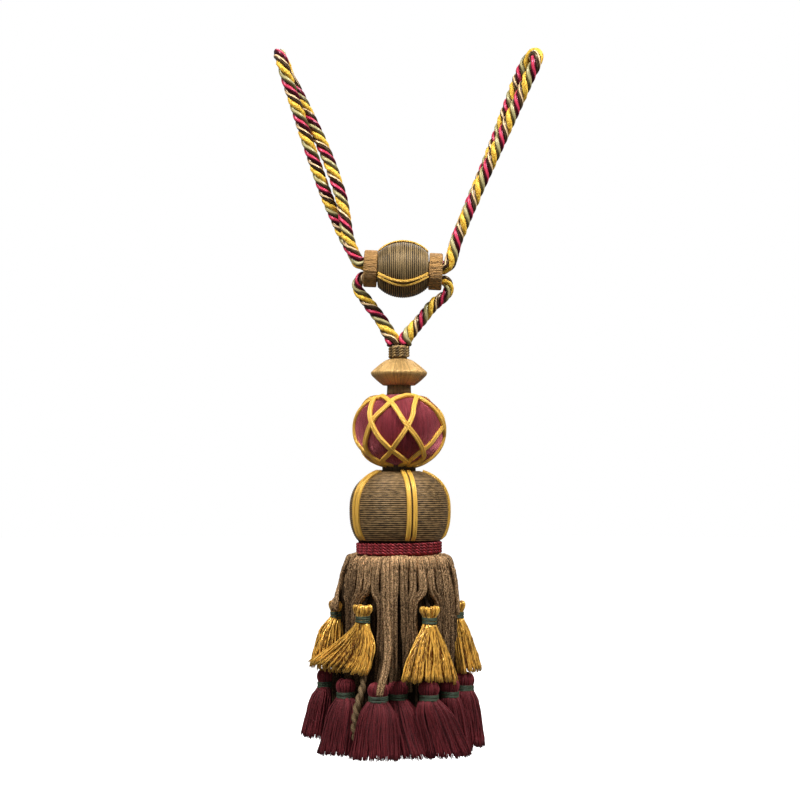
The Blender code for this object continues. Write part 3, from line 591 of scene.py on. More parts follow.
def ribbed_silk(name, groove, crest, strands, sharp):
    """Ribbed silk: the crest attribute paints light on the ribs' crests and shade in their grooves, with fine
    fibres along them.
    """
    material, tree, shader, factor = yarn(name, groove, crest, 0.5, 0.0, 0.2, 0.15)
    uneven = calculated(tree, "MULTIPLY_ADD", object_noise(tree, 1.0, 2.0, strands), 1.5, -0.75)
    # Painted light and shade on the ribs.
    painted_rib_light = calculated(tree, "POWER", stored(tree, "crest"), sharp)
    tree.links.new(calculated(tree, "ADD", painted_rib_light, uneven), factor)
    raise_bump(tree, shader, object_noise(tree, 2600.0, 1.0), 0.12 * MM, 0.6)
    return material


def slider_ball_radius(along):
    return SLIDER_BALL_RADIUS * rounded(along, SLIDER_BALL_LENGTH_RADIUS, 2.0)


slider_silk = ribbed_silk("slider_silk", (0.014, 0.009, 0.004), (0.30, 0.20, 0.085), (420.0, 60.0, 60.0), 2.1)
half = SLIDER_BALL_HALF_LENGTH
outline = [(slider_ball_radius(along), along) for along in np.linspace(half, -half, 60)]
profile, crest = ribbed(outline, RIB_PITCH, RIB_DEPTH)
closing = [(SLIDER_BORE, -half), (SLIDER_BORE, half), profile[0]]
slider_ball = spun_form("slider_bead", profile + closing, 96)
mark_crest(slider_ball, profile, crest)
lie_on_slider_axis(slider_ball, BEAD_TILT)
slider_ball.data.materials.append(slider_silk)
fitted(slider_ball, "slider_ball")


# Slider collars: two wooden rings, one each side of the ball, each wrapped through and over with
# camel yarn until the wood is hidden. They are threaded on the same cords.

COLLAR_RADIUS = 12.95 * MM
COLLAR_INNER_END = 18.2 * MM
COLLAR_OUTER_END = 27.6 * MM
COLLAR_WRAPS = 78
COLLAR_SIDES = 156
COLLAR_EDGE = 0.8 * MM


def turn_group():
    """How far round its Z axis a point lies, from 0 to 1, and its distance from that axis."""
    tree, given, result = new_group("turn", [("Vector", "NodeSocketVector", None)], ["Turn", "Distance"])
    split = add_node(tree, "ShaderNodeSeparateXYZ", {"Vector": given["Vector"]})
    angle = calculated(tree, "ARCTAN2", split.outputs["X"], split.outputs["Y"])
    tree.links.new(calculated(tree, "MULTIPLY_ADD", angle, 0.5 / math.pi, 0.5), result["Turn"])
    squares = calculated(tree, "MULTIPLY", split.outputs["X"], split.outputs["X"])
    squares = calculated(tree, "MULTIPLY_ADD", split.outputs["Y"], split.outputs["Y"], squares)
    tree.links.new(calculated(tree, "SQRT", squares), result["Distance"])
    return tree


TURN = turn_group()


def wrapped_yarn(
    name, dark, light, count, centre, turn, relief, roughness, wander, grain=900.0, lustre=0.0, sheen=0.0,
    gleam=(1.0, 1.0, 1.0),
):
    """Threads side by side round an axis through centre: Z, or the X axis where turn says so."""
    material, tree, shader, factor = yarn(name, dark, light, roughness, sheen, 0.3, lustre, gleam)
    where = add_node(tree, "ShaderNodeTexCoord")
    centred = add_node(tree, "ShaderNodeMapping", {
        "Vector": where.outputs["Object"], "Location": centre, "Rotation": turn,
    }, vector_type="TEXTURE").outputs[0]
    round_axis = add_node(tree, "ShaderNodeGroup", {"Vector": centred}, node_tree=TURN)
    split = add_node(tree, "ShaderNodeSeparateXYZ", {"Vector": centred})
    along = calculated(tree, "ADD", split.outputs["Z"], round_axis.outputs["Distance"])
    across = calculated(tree, "MULTIPLY", round_axis.outputs["Turn"], count)
    height, tone = thread_lines(tree, across, along, wander, grain)
    tree.links.new(calculated(tree, "MULTIPLY_ADD", tone, 1.7, -0.38), factor)
    raise_bump(tree, shader, height, relief)
    return material


SLIDER_AXIS_TURN = (0.0, math.pi / 2 + SLIDER_TILT, 0.0)
camel_wrap = wrapped_yarn(
    "camel_wrap", (0.055, 0.020, 0.004), (0.44, 0.235, 0.074), COLLAR_WRAPS, SLIDER_CENTRE, SLIDER_AXIS_TURN,
    0.5 * MM, 0.65, 2.6, 500.0,
)
half_wall = (COLLAR_RADIUS - SLIDER_BORE) / 2
middle = (COLLAR_RADIUS + SLIDER_BORE) / 2
section = [(SLIDER_BORE, COLLAR_INNER_END)]
for angle in np.linspace(-90, 90, 9):
    turn = math.radians(angle)
    section.append((middle + half_wall * math.sin(turn), COLLAR_OUTER_END - half_wall * (1 - math.cos(turn))))
for angle in np.linspace(0, 90, 5):
    turn = math.radians(angle)
    radius = COLLAR_RADIUS - COLLAR_EDGE * (1 - math.cos(turn))
    section.append((radius, COLLAR_INNER_END + COLLAR_EDGE * (1 - math.sin(turn))))
section.append(section[0])
for name, side in (("slider_collar_left", -1), ("slider_collar_right", 1)):
    collar = spun_form("wrapped_" + name, [(radius, side * z) for radius, z in section], COLLAR_SIDES)
    ripple = random.Random(7 + side)
    lifts = [1 + ripple.uniform(-0.022, 0.012) for _ in range(COLLAR_SIDES + 1)]
    for vertex in collar.data.vertices:
        step = int((math.atan2(vertex.co.y, vertex.co.x) / (2 * math.pi) % 1) * COLLAR_SIDES)
        vertex.co.x *= lifts[step]
        vertex.co.y *= lifts[step]
    lie_on_slider_axis(collar, SLIDER_TILT)
    collar.data.materials.append(camel_wrap)
    fitted(collar, name)


# Slider braids: three pairs of narrow gold braid on a brown ground, glued over the ball from
# collar to collar.

SLIDER_BRAID_WIDTH = 5.2 * MM
SLIDER_BRAID_THICKNESS = 1.3 * MM
# Bearing from the front upwards at the collars, and how much lower each lies at its middle.
SLIDER_BRAIDS = ((-20, 13), (91, 0), (211, 0))
BRAID_LIFT = 0.45 * MM
BRAID_CORD_WIDTH = 2.0 * MM
GROUND_THICKNESS = 0.35 * MM

# A narrow braid's section: share of the half width, share of the thickness.
BRAID_SECTION = [
    (-1.0, 0.0), (-1.0, 0.45), (-0.86, 0.86), (-0.5, 1.0), (-0.14, 0.9), (0.0, 0.68),
    (0.14, 0.9), (0.5, 1.0), (0.86, 0.86), (1.0, 0.45), (1.0, 0.0),
]
# A round-backed cord's section, in the same shares.
CORD_SECTION = [
    (-0.9, 0.0), (-1.0, 0.35), (-0.85, 0.68), (-0.5, 0.93), (0.0, 1.0),
    (0.5, 0.93), (0.85, 0.68), (1.0, 0.35), (0.9, 0.0),
]


def braid_rings(middles, outs, width, thickness, section=BRAID_SECTION):
    """Rings of a flat braid whose underside follows the middles, its face turned to outs."""
    along = unit(np.gradient(middles, axis=0))
    across = unit(np.cross(outs, along))
    shares = np.array(section)
    wide = across[:, None] * shares[None, :, 0, None] * width / 2
    return middles[:, None] + wide + outs[:, None] * shares[None, :, 1, None] * thickness


gold_braid = spun_yarn(
    "gold_braid", (0.34, 0.115, 0.009), (1.0, 0.58, 0.095), 20, 12, 0.14 * MM, 0.36, 0.9, 0.1, 0.8,
    (1.0, 0.85, 0.5),
)
braid_ground = spun_yarn("braid_ground", (0.030, 0.015, 0.006), (0.10, 0.05, 0.015), 30, 12, 0.10 * MM, 0.6)
slider_place = Matrix.Translation(SLIDER_CENTRE) @ Matrix.Rotation(BEAD_TILT, 4, "Y")


def slider_points(along, radius, bearings):
    """Points of the slider: distances along its axis, radii, and bearings from the front upwards."""
    rows = []
    for x, r, angle in zip(along, radius, np.radians(bearings)):
        rows.append(slider_place @ Vector((x, -r * math.cos(angle), r * math.sin(angle))))
    return np.array(rows)


reach = np.linspace(-SLIDER_BALL_HALF_LENGTH + 0.3 * MM, SLIDER_BALL_HALF_LENGTH - 0.3 * MM, 30)
for i, (bearing, sag) in enumerate(SLIDER_BRAIDS):
    bearings = bearing - sag * (1 - (reach / reach[-1]) ** 2)
    radii = np.array([slider_ball_radius(along) + BRAID_LIFT for along in reach])
    lofts = []
    outs = unit(slider_points(reach, radii + MM, bearings) - slider_points(reach, radii, bearings))
    middles = slider_points(reach, radii, bearings)
    lofts.append((braid_rings(middles, outs, SLIDER_BRAID_WIDTH * 0.8, GROUND_THICKNESS), 0.3, 1))
    for side in (-1, 1):
        tilt = side * math.degrees(SLIDER_BRAID_WIDTH * 0.28 / SLIDER_BALL_RADIUS)
        middles = slider_points(reach, radii, bearings + tilt)
        rings = braid_rings(middles, outs, BRAID_CORD_WIDTH, SLIDER_BRAID_THICKNESS, CORD_SECTION)
        lofts.append((rings, 0.5, 0))
    braid = woven(f"slider_gold_braid_{i + 1}", lofts, [gold_braid, braid_ground])
    fitted(braid, f"slider_braid_{i + 1}")


# Neck binding: four turns of fine two-ply taupe cord, wound tight over the two ends of the
# tassel's loop where they enter the disc.

NECK_TOP = -201.7 * MM
NECK_BOTTOM = -211.4 * MM
NECK_TURNS = 4
NECK_CORD_RADIUS = 1.22 * MM
NECK_RADIUS = 6.35 * MM
NECK_PITCH = 5.0 * MM
NECK_CORE_RADIUS = 5.7 * MM

neck_taupe = spun_yarn("neck_taupe", (0.012, 0.006, 0.002), (0.34, 0.215, 0.080), 5, 60, 0.12 * MM, 0.6, 1.3)


def wound_cord(
    name, material, tones, top, bottom, turns, radius, cord_radius, pitch, core_radius, core_top, sides,
):
    """Two-ply cord wound down round the tassel's line, over a core. The sign of its pitch is its hand."""
    steps = round(turns * 2 * math.pi * radius / abs(pitch / 8))
    share = np.linspace(0, 1, steps + 1)
    angle = share * turns * 2 * math.pi
    z = top - cord_radius + (bottom + 2 * cord_radius - top) * share
    line = np.column_stack([radius * np.sin(angle), radius * np.cos(angle), z])
    radii = np.full(len(line), cord_radius)
    plies = laid_strands(line, radii, 2, -travelled(line) / pitch, 8, (0, 0, 1), 1.02)
    around = np.arange(sides) * 2 * math.pi / sides
    ring = [(core_radius * math.sin(a), core_radius * math.cos(a)) for a in around]
    core = np.array([[(x, y, z) for x, y in ring] for z in (core_top, bottom)])[:, ::-1]
    # One ply is painted darker than the other, and the core is dark too: painted shade in the cord's lay and
    # between its turns.
    return woven(name, [*((rings, tone, 0) for tone, rings in zip(tones, plies)), (core, 0.0, 0)], [material])


neck = wound_cord(
    "neck_wound_cord", neck_taupe, (-0.8, 1.3), NECK_TOP, NECK_BOTTOM, NECK_TURNS, NECK_RADIUS,
    NECK_CORD_RADIUS, NECK_PITCH, NECK_CORE_RADIUS, NECK_TOP - 0.3 * MM, 24,
)
fitted(neck, "neck_binding")


# Disc and spacer: a turned wooden double cone wound radially in pale gold silk, threaded above a
# short tube wound in taupe.

DISC_OUTLINE = [
    (0.0, -211.2), (6.6, -211.3), (9.3, -212.3), (11.4, -213.6), (14.2, -215.7), (17.0, -218.1),
    (19.0, -219.9), (19.7, -220.8), (19.7, -221.8), (19.0, -223.1), (16.4, -225.7), (13.6, -228.1),
    (11.3, -229.8), (0.0, -229.9),
]
disc_silk = wrapped_yarn(
    "disc_silk", (0.085, 0.030, 0.006), (0.74, 0.45, 0.155), 150, (0, 0, -0.22), (0, 0, 0), 0.3 * MM,
    0.42, 1.6, 900.0, 0.25,
)
disc = spun_form("silk_disc", [(radius * MM, z * MM) for radius, z in DISC_OUTLINE], 120)
disc.data.materials.append(disc_silk)
fitted(disc, "disc")

SPACER_OUTLINE = [(0, -229.7), (8.3, -229.7), (8.4, -233.0), (8.6, -236.8), (0, -236.8)]
spacer_silk = wrapped_yarn(
    "spacer_silk", (0.024, 0.013, 0.005), (0.27, 0.18, 0.07), 60, (0, 0, -0.23), (0, 0, 0), 0.3 * MM, 0.6, 0.8
)
spacer = spun_form("silk_spacer", [(radius * MM, z * MM) for radius, z in SPACER_OUTLINE], 64)
spacer.data.materials.append(spacer_silk)
fitted(spacer, "spacer")


# Burgundy ball: a wooden form covered from pole to pole with burgundy rayon floss, on a short
# waist wound in brown. It is threaded below the spacer.

BURGUNDY_CENTRE_Z = -260.7 * MM
BURGUNDY_RADIUS = 31.2 * MM
BURGUNDY_HALF_HEIGHT = 26.3 * MM
BURGUNDY_ROUNDNESS = 2.2
BURGUNDY_TOP_Z = -236.4 * MM
BURGUNDY_WAIST_Z = (-285.3 * MM, -290.8 * MM)
BURGUNDY_WAIST_RADIUS = 11.7 * MM


def burgundy_radius(z):
    return BURGUNDY_RADIUS * rounded(z - BURGUNDY_CENTRE_Z, BURGUNDY_HALF_HEIGHT, BURGUNDY_ROUNDNESS)


ball_floss = wrapped_yarn(
    "ball_floss", (0.026, 0.003, 0.004), (0.19, 0.025, 0.033), 200, (0, 0, BURGUNDY_CENTRE_Z), (0, 0, 0),
    0.25 * MM, 0.48, 1.8, 500.0, 0.1, 1.0, (1.0, 0.28, 0.32),
)
profile = [(0, BURGUNDY_TOP_Z), (8.5 * MM, BURGUNDY_TOP_Z)]
turns = np.linspace(0, 1, 40)
reach = BURGUNDY_TOP_Z - 0.8 * MM - BURGUNDY_WAIST_Z[0]
levels = BURGUNDY_WAIST_Z[0] + reach * (1 + np.cos(math.pi * turns)) / 2
profile += [(burgundy_radius(z), z) for z in levels]
profile += [
    (BURGUNDY_WAIST_RADIUS, BURGUNDY_WAIST_Z[0] - 0.6 * MM),
    (BURGUNDY_WAIST_RADIUS, BURGUNDY_WAIST_Z[1]),
    (0, BURGUNDY_WAIST_Z[1]),
]
burgundy_ball = spun_form("floss_ball", profile, 120)
waist_yarn = wrapped_yarn(
    "waist_yarn", (0.014, 0.008, 0.003), (0.15, 0.095, 0.045), 70, (0, 0, -0.286), (0, 0, 0), 0.3 * MM,
    0.6, 0.8,
)
burgundy_ball.data.materials.append(ball_floss)
burgundy_ball.data.materials.append(waist_yarn)
for face in burgundy_ball.data.polygons:
    if face.center.z < BURGUNDY_WAIST_Z[0] - 0.3 * MM:
        face.material_index = 1
fitted(burgundy_ball, "burgundy_ball")


# Lattice: one flat gold braid taken to and fro over the burgundy ball, its turns lying on one
# another at the top and its lower crossings drawn in to the waist.

LATTICE_WIDTH = 3.35 * MM
LATTICE_THICKNESS = 0.95 * MM
# Each run of the braid: how far it is lifted, then height in millimetres and bearing from the front.
LATTICE_RUNS = [
    (0.5, [(-239.8, 38), (-240.9, 31), (-245.9, 22), (-252.9, 17), (-259.9, 10), (-268.8, -1),
           (-277.6, -16), (-282.7, -38), (-285.4, -52)], 1.0),
    (1.2, [(-285.6, 30), (-283.5, 21), (-280.6, 7), (-275.6, -9), (-270.7, -19), (-263.8, -29),
           (-253.8, -39), (-246.7, -44), (-240.6, -49), (-239.8, -42), (-239.2, -33), (-244.9, -9),
           (-258.9, 10), (-274.6, 35), (-279.9, 46), (-283.0, 43), (-285.6, 30)], 0.0),
    (0.5, [(-285.2, -44), (-281.0, -52), (-273.5, -53), (-265.7, -45), (-254.8, -34), (-247.9, -22),
           (-241.8, -10), (-239.4, 5), (-238.4, 20), (-239.6, 39), (-247.0, 58), (-259.0, 74),
           (-270.0, 97), (-282.0, 122), (-285.5, 140)], 1.0),
    (0.5, [(-240.3, 118), (-248.5, 102), (-257.2, 78), (-264.5, 57), (-271.5, 45), (-276.6, 33),
           (-283.0, 19), (-285.6, 4)], 0.4),
    (0.5, [(-239.8, -40), (-240.3, -58), (-246.3, -71), (-257.2, -80), (-267.3, -77), (-277.4, -59),
           (-282.5, -43), (-285.6, -24)], 0.4),
    (0.5, [(-249.0, 61), (-253.0, 72), (-258.5, 82), (-266.0, 86), (-276.0, 82), (-282.5, 76),
           (-285.6, 58)], 1.0),
    (0.5, [(-239.6, 108), (-248.5, 128), (-260.5, 148), (-272.0, 168), (-282.0, 190),
           (-285.6, 206)], 0.0),
    (0.5, [(-239.6, 182), (-248.5, 202), (-260.5, 222), (-272.0, 242), (-282.0, 264),
           (-285.6, 280)], 0.0),
    (0.5, [(-239.6, 188), (-248.5, 168), (-260.5, 147), (-272.0, 126), (-282.0, 103),
           (-285.6, 86)], 1.0),
    (0.5, [(-239.6, 264), (-248.5, 243), (-260.5, 222), (-272.0, 202), (-282.0, 180),
           (-285.6, 164)], 1.0),
    (0.5, [(-239.6, 108), (-238.4, 130), (-238.4, 160), (-239.6, 188)], 0.4),
    (0.5, [(-239.6, 182), (-239.81, 205), (-238.4, 235), (-239.6, 264)], 0.9),
]
FLAT_BRAID_SECTION = [
    (-0.92, -1.3), (-1.0, 0.1), (-0.95, 0.6), (-0.8, 0.9), (-0.45, 1.0), (-0.12, 0.85), (0.0, 0.72),
    (0.12, 0.85), (0.45, 1.0), (0.8, 0.9), (0.95, 0.6), (1.0, 0.1), (0.92, -1.3),
]


def bearing_rows(bearings, distances, heights):
    """Points at bearings in degrees from the front towards +X, distances from the axis, and heights."""
    angle = np.radians(bearings)
    return np.column_stack([distances * np.sin(angle), -distances * np.cos(angle), heights])


def turned_normals(radius_of, bearings, heights):
    """Outward directions of a turned form at bearings and heights."""
    step = 0.2 * MM
    slope = np.array([(radius_of(z + step) - radius_of(z - step)) / (2 * step) for z in heights])
    angle = np.radians(bearings)
    return unit(np.column_stack([np.sin(angle), -np.cos(angle), -slope]))


def over_ball(radius_of, bearings, heights, lift):
    radii = np.array([radius_of(z) for z in heights])
    return bearing_rows(bearings, radii, heights) + turned_normals(radius_of, bearings, heights) * lift


lofts = []
for lift, run, over in LATTICE_RUNS:
    rows = spline([(height, 0.4 * bearing, bearing) for height, bearing in run], 1.3)
    heights, turns = rows[:, 0] * MM, rows[:, 2]
    middles = over_ball(burgundy_radius, turns, heights, (lift + 0.6 * over) * MM)
    outs = turned_normals(burgundy_radius, turns, heights)
    lofts.append((braid_rings(middles, outs, LATTICE_WIDTH, LATTICE_THICKNESS, FLAT_BRAID_SECTION), 0.5, 0))
lattice = woven("gold_lattice", lofts, [gold_braid])
fitted(lattice, "braid_lattice")


# Olive ball: the large turned wooden form, wound round and round from top to bottom with ribbed
# silk like the slider's. It is threaded below the burgundy ball's waist.

OLIVE_CENTRE_Z = -317.2 * MM
OLIVE_RADIUS = 34.7 * MM
OLIVE_UP = 28.8 * MM
OLIVE_DOWN = 32.2 * MM
OLIVE_ROUNDNESS = 2.45
OLIVE_TOP_RADIUS = 14.0 * MM
OLIVE_BOTTOM_Z = -338.0 * MM


def olive_radius(z):
    offset = z - OLIVE_CENTRE_Z
    return OLIVE_RADIUS * rounded(offset, OLIVE_UP if offset > 0 else OLIVE_DOWN, OLIVE_ROUNDNESS)


narrow = 1 - (OLIVE_TOP_RADIUS / OLIVE_RADIUS) ** OLIVE_ROUNDNESS
OLIVE_TOP_Z = OLIVE_CENTRE_Z + OLIVE_UP * narrow ** (1 / OLIVE_ROUNDNESS)
olive_silk = ribbed_silk(
    "olive_silk", (0.008, 0.005, 0.002), (0.375, 0.23, 0.097), (240.0, 240.0, 700.0), 2.6
)
turns = np.linspace(0, 1, 80)
levels = OLIVE_BOTTOM_Z + (OLIVE_TOP_Z - OLIVE_BOTTOM_Z) * (1 + np.cos(math.pi * turns)) / 2
profile, crest = ribbed([(olive_radius(z), z) for z in levels], RIB_PITCH, RIB_DEPTH)
closing = [(27.6 * MM, OLIVE_BOTTOM_Z - 2.5 * MM), (0, OLIVE_BOTTOM_Z - 2.5 * MM)]
olive_ball = spun_form("silk_ball", [(0, profile[0][1]), *profile, *closing], 120)
mark_crest(olive_ball, profile, crest)
olive_ball.data.materials.append(olive_silk)
fitted(olive_ball, "olive_ball")


# Olive braids: five pairs of flat gold braid on a brown ground, glued over the olive ball from
# its flat top to the binding below it.

OLIVE_BRAID_BEARINGS = (-58, 15, 88, 160, 231)
OLIVE_BRAID_WIDTH = 8.2 * MM
OLIVE_BRAID_THICKNESS = 1.15 * MM
# How near the axis the braids start on the ball's flat top, and how their feet sink under the binding.
OLIVE_BRAID_START = 15 * MM
FOOT_LENGTH = 3.5 * MM
FOOT_SINK = 1.5 * MM
OLIVE_BRAID_ROWS = 40

for i, bearing in enumerate(OLIVE_BRAID_BEARINGS):
    reach = OLIVE_TOP_Z - OLIVE_BOTTOM_Z - 1.0 * MM
    turns = np.linspace(0, 1, OLIVE_BRAID_ROWS)
    heights = OLIVE_BOTTOM_Z + 0.3 * MM + reach * (1 + np.cos(math.pi * turns)) / 2
    tucked = 0.35 * MM - FOOT_SINK * np.clip(1 - (heights - OLIVE_BOTTOM_Z) / FOOT_LENGTH, 0, 1)[:, None]
    lofts = []
    for side in (-1, 1):
        radii = np.array([max(olive_radius(z), OLIVE_BRAID_START) for z in heights])
        turns = bearing + side * np.degrees(OLIVE_BRAID_WIDTH / 4 / radii)
        middles = over_ball(olive_radius, turns, heights, tucked)
        outs = turned_normals(olive_radius, turns, heights)
        width = OLIVE_BRAID_WIDTH / 2 - 1.0 * MM
        rings = braid_rings(middles, outs, width, OLIVE_BRAID_THICKNESS, FLAT_BRAID_SECTION)
        lofts.append((rings, 0.5, 0))
    middles = over_ball(olive_radius, np.full(OLIVE_BRAID_ROWS, bearing), heights, tucked)
    outs = turned_normals(olive_radius, np.full(OLIVE_BRAID_ROWS, bearing), heights)
    lofts.append((braid_rings(middles, outs, OLIVE_BRAID_WIDTH / 2, GROUND_THICKNESS), 0.3, 1))
    braid = woven(f"olive_gold_braid_{i + 1}", lofts, [gold_braid, braid_ground])
    fitted(braid, f"olive_braid_{i + 1}")


# Burgundy binding: four turns of two-ply burgundy cord, wound round the foot of the olive ball
# over the braids' ends.

BINDING_TOP = -338.2 * MM
BINDING_BOTTOM = -348.2 * MM
BINDING_TURNS = 4
BINDING_CORD_RADIUS = 1.24 * MM
BINDING_RADIUS = 28.9 * MM
BINDING_CORE_RADIUS = 27.8 * MM
# A whole number of twists to a turn, so that each turn's marks stand apart from the next one's.
BINDING_PITCH = -2 * math.pi * BINDING_RADIUS / 31

binding_yarn = spun_yarn(
    "binding_yarn", (0.026, 0.002, 0.004), (0.36, 0.036, 0.046), 6, -60, 0.12 * MM, 0.42, 1.4, 0.25
)
binding = wound_cord(
    "burgundy_wound_cord", binding_yarn, (-0.45, 1.15), BINDING_TOP, BINDING_BOTTOM, BINDING_TURNS,
    BINDING_RADIUS, BINDING_CORD_RADIUS, BINDING_PITCH, BINDING_CORE_RADIUS, BINDING_TOP - 0.2 * MM, 48,
)
fitted(binding, "burgundy_binding")


# Skirt: strips of knitted taupe yarn, looped over a heading that the burgundy binding holds, and
# hanging in two layers with the small tassels on their ends.

STRIP_HALF_WIDTH = 3.35
STRIP_THICKNESS = 3.0
# The strips that show by themselves: bearing, distance, height, width share, turn in degrees.
LOOSE_STRIP = [
    (-14, 31.0, -349.6, 0.8, 0), (-14, 36.5, -352.0, 0.8, 0), (-13, 39.5, -366.0, 0.8, 0),
    (-12, 41.5, -386.0, 0.8, -14), (-9.7, 45.5, -407.5, 0.78, 0), (-10, 50.0, -421.4, 0.78, 8),
    (-12.7, 55.0, -434.5, 0.76, 12), (-13.4, 56.5, -440.0, 0.66, 12),
]
SIDE_STRIPS = [
    [(-68, 31.0, -349.4, 0.85, -20), (-70, 36.2, -349.4, 0.85, -30), (-74, 39.2, -357.0, 0.8, -50),
     (-76, 41.4, -368.0, 0.85, -60), (-73, 45.0, -376.0, 0.85, -10), (-69.5, 47.8, -381.5, 0.95, 46),
     (-69.5, 47.4, -386.0, 0.85, 52)],
    [(62, 31.0, -349.4, 0.85, 20), (66, 36.4, -349.8, 0.85, 30), (69, 39.8, -358.0, 0.8, 44),
     (70, 41.4, -370.0, 0.9, 54), (69, 42.2, -381.0, 1.1, 58), (68, 42.8, -388.5, 1.0, 58)],
]
# Strips in the shade behind the leftmost gold and burgundy tassels.
BACKING_STRIPS = [
    [(-76, 35.0, -398.0, 0.8, 0), (-78, 41.0, -416.0, 0.9, 20), (-79, 44.5, -432.0, 0.9, 40),
     (-79, 45.0, -452.0, 0.8, 50)],
    [(-68, 32.0, -356.0, 0.8, 0), (-71, 38.0, -367.0, 0.9, 10), (-74, 41.0, -377.0, 1.0, 30),
     (-75, 41.0, -394.0, 1.0, 40)],
]

# Small tassels: bearing, distance, top, lean, sweep, breadth, depth, bow, hem, then how much shorter the
# hem is on one side (below 0 on its left) and on its outer side. The bow is how the cut threads leave
# the tie: below 1 they round out at once, above 1 they swing out at the hem.
GOLD_TASSELS = [
    (-80, 43.6, -379.3, 8.0, -2.0, 0.80, 1.5, 0.55, 49.5, -0.03, 0.10),
    (-35, 42.8, -380.4, 5.5, -17.0, 1.26, 1.05, 1.6, 46.8, -0.20, 0.0),
    (29, 42.8, -381.2, 5.0, -2.5, 1.08, 1.0, 1.15, 51.0, -0.05, 0.0),
    (81, 40.8, -379.6, 7.5, 2.0, 0.74, 1.25, 1.0, 49.5, 0.0, 0.04),
    (131, 42.8, -381.0, 4.5, 1.0, 0.86, 1.0, 0.9, 48.5, 0.0, 0.0),
    (186, 42.8, -382.0, 4.5, 0.0, 0.92, 1.0, 0.9, 48.5, 0.0, 0.0),
    (227, 42.8, -380.5, 4.5, 0.0, 0.86, 1.0, 0.9, 48.5, 0.0, 0.0),
]
BURGUNDY_TASSELS = [
    (-90, 50.8, -427.6, 5.5, 0.0, 0.95, 1.2, 1.0, 47.5, 0.0, 0.08),
    (-51, 46.5, -431.4, 5.5, -4.0, 0.98, 1.15, 1.0, 50.0, 0.0, 0.0),
    (-17, 47.5, -432.4, 4.5, -1.0, 1.05, 1.05, 1.0, 49.5, 0.0, 0.0),
    (-1, 38.5, -431.6, 3.0, 10.0, 0.95, 1.0, 1.0, 50.5, 0.0, 0.0),
    (25, 47.5, -431.6, 3.0, 13.0, 1.05, 1.1, 0.9, 49.5, 0.0, 0.0),
    (50, 45.0, -431.0, 2.0, 5.0, 0.76, 1.0, 1.0, 49.0, 0.0, 0.0),
    (75, 45.6, -428.6, 4.5, 2.5, 0.85, 0.9, 1.0, 49.5, 0.0, 0.0),
    (104, 48.0, -431.5, 3.0, 0.0, 0.95, 1.1, 1.0, 49.5, 0.0, 0.0),
    (134, 48.0, -432.5, 2.5, 0.0, 0.95, 1.1, 1.0, 49.5, 0.0, 0.0),
    (165, 48.0, -432.0, 3.0, 0.0, 1.0, 1.1, 1.0, 49.5, 0.0, 0.0),
    (196, 48.0, -433.0, 2.5, 0.0, 1.0, 1.1, 1.0, 49.5, 0.0, 0.0),
    (230, 48.0, -432.0, 3.0, 0.0, 1.0, 1.1, 1.0, 49.5, 0.0, 0.0),
]


def knit_strip_material():
    """Fine taupe knit: columns of pale stitches, painted dark between them as the shade in the knit's holes.
    """
    material, tree, shader, factor = yarn(
        "taupe_knit", (0.010, 0.005, 0.002), (0.84, 0.51, 0.255), 0.8, 0.0, 0.1
    )
    u, v = thread_uv(tree)
    columns = calculated(tree, "MULTIPLY", u, 16.0)
    height, tone = thread_lines(tree, columns, v, 1.3, 1400.0)
    stitches = object_noise(tree, 1.0, 2.0, (1500.0, 1500.0, 950.0), 0.6)
    speck = add_node(tree, "ShaderNodeMapRange", {"Value": stitches, "From Min": 0.42, "From Max": 0.61})
    threads = calculated(tree, "MULTIPLY", tone, 0.4)
    mixed = calculated(tree, "MULTIPLY_ADD", speck.outputs["Result"], 0.7, threads)
    # The stored tone brings in each strip's painted light and shade.
    mixed = calculated(tree, "MULTIPLY", calculated(tree, "POWER", mixed, 1.5), stored(tree, "tone"))
    tree.links.new(mixed, factor)
    raise_bump(tree, shader, calculated(tree, "MULTIPLY_ADD", stitches, 1.2, height), 0.5 * MM)
    return material


taupe_knit = knit_strip_material()
STRIP_SECTION = [
    (-1.0, -0.45), (-0.92, -0.05), (-0.74, 0.32), (-0.5, 0.48), (-0.24, 0.40), (-0.08, 0.16),
    (0.0, 0.08), (0.08, 0.16), (0.24, 0.40), (0.5, 0.48), (0.74, 0.32), (0.92, -0.05), (1.0, -0.45),
    (0.5, -0.5), (0.0, -0.45), (-0.5, -0.5),
]


def strip_rings(knots, seed):
    """A hanging strip through knots of (bearing, distance, height, width share, turn in degrees)."""
    knots = np.array(knots, float)
    places = bearing_rows(*knots[:, :3].T)
    rows = spline(np.column_stack([places, knots[:, 3], knots[:, 4]]), 1.8)
    places = rows[:, :3] * MM
    along = unit(np.gradient(places, axis=0))
    out = unit(np.column_stack([places[:, 0], places[:, 1], np.zeros(len(places))]))
    across = unit(np.cross(along, out))
    out = np.cross(across, along)
    turn = np.radians(rows[:, 4])[:, None]
    across, out = across * np.cos(turn) + out * np.sin(turn), out * np.cos(turn) - across * np.sin(turn)
    shares = np.array(STRIP_SECTION)
    dice = np.random.default_rng(seed)
    uneven = dice.normal(0, 0.05, (len(rows), len(shares)))
    wide = across[:, None] * shares[None, :, 0, None] * STRIP_HALF_WIDTH * MM * rows[:, 3][:, None, None]
    lift = (shares[None, :, 1] + uneven) * STRIP_THICKNESS * MM
    return (places[:, None] + wide + out[:, None] * lift[:, :, None])[:, ::-1]


def strip_light_and_shade(count, top, below, shade_fall):
    """Tones down a strip: painted light on its loop at the top, then painted shade falling by a share of
    itself towards its end.
    """
    share = np.linspace(0, 1, count)
    return below * (1 + shade_fall * (0.33 - share)) + (top - below) * np.exp(-((share / 0.105) ** 2))


draw = random.Random(21)
lofts = []


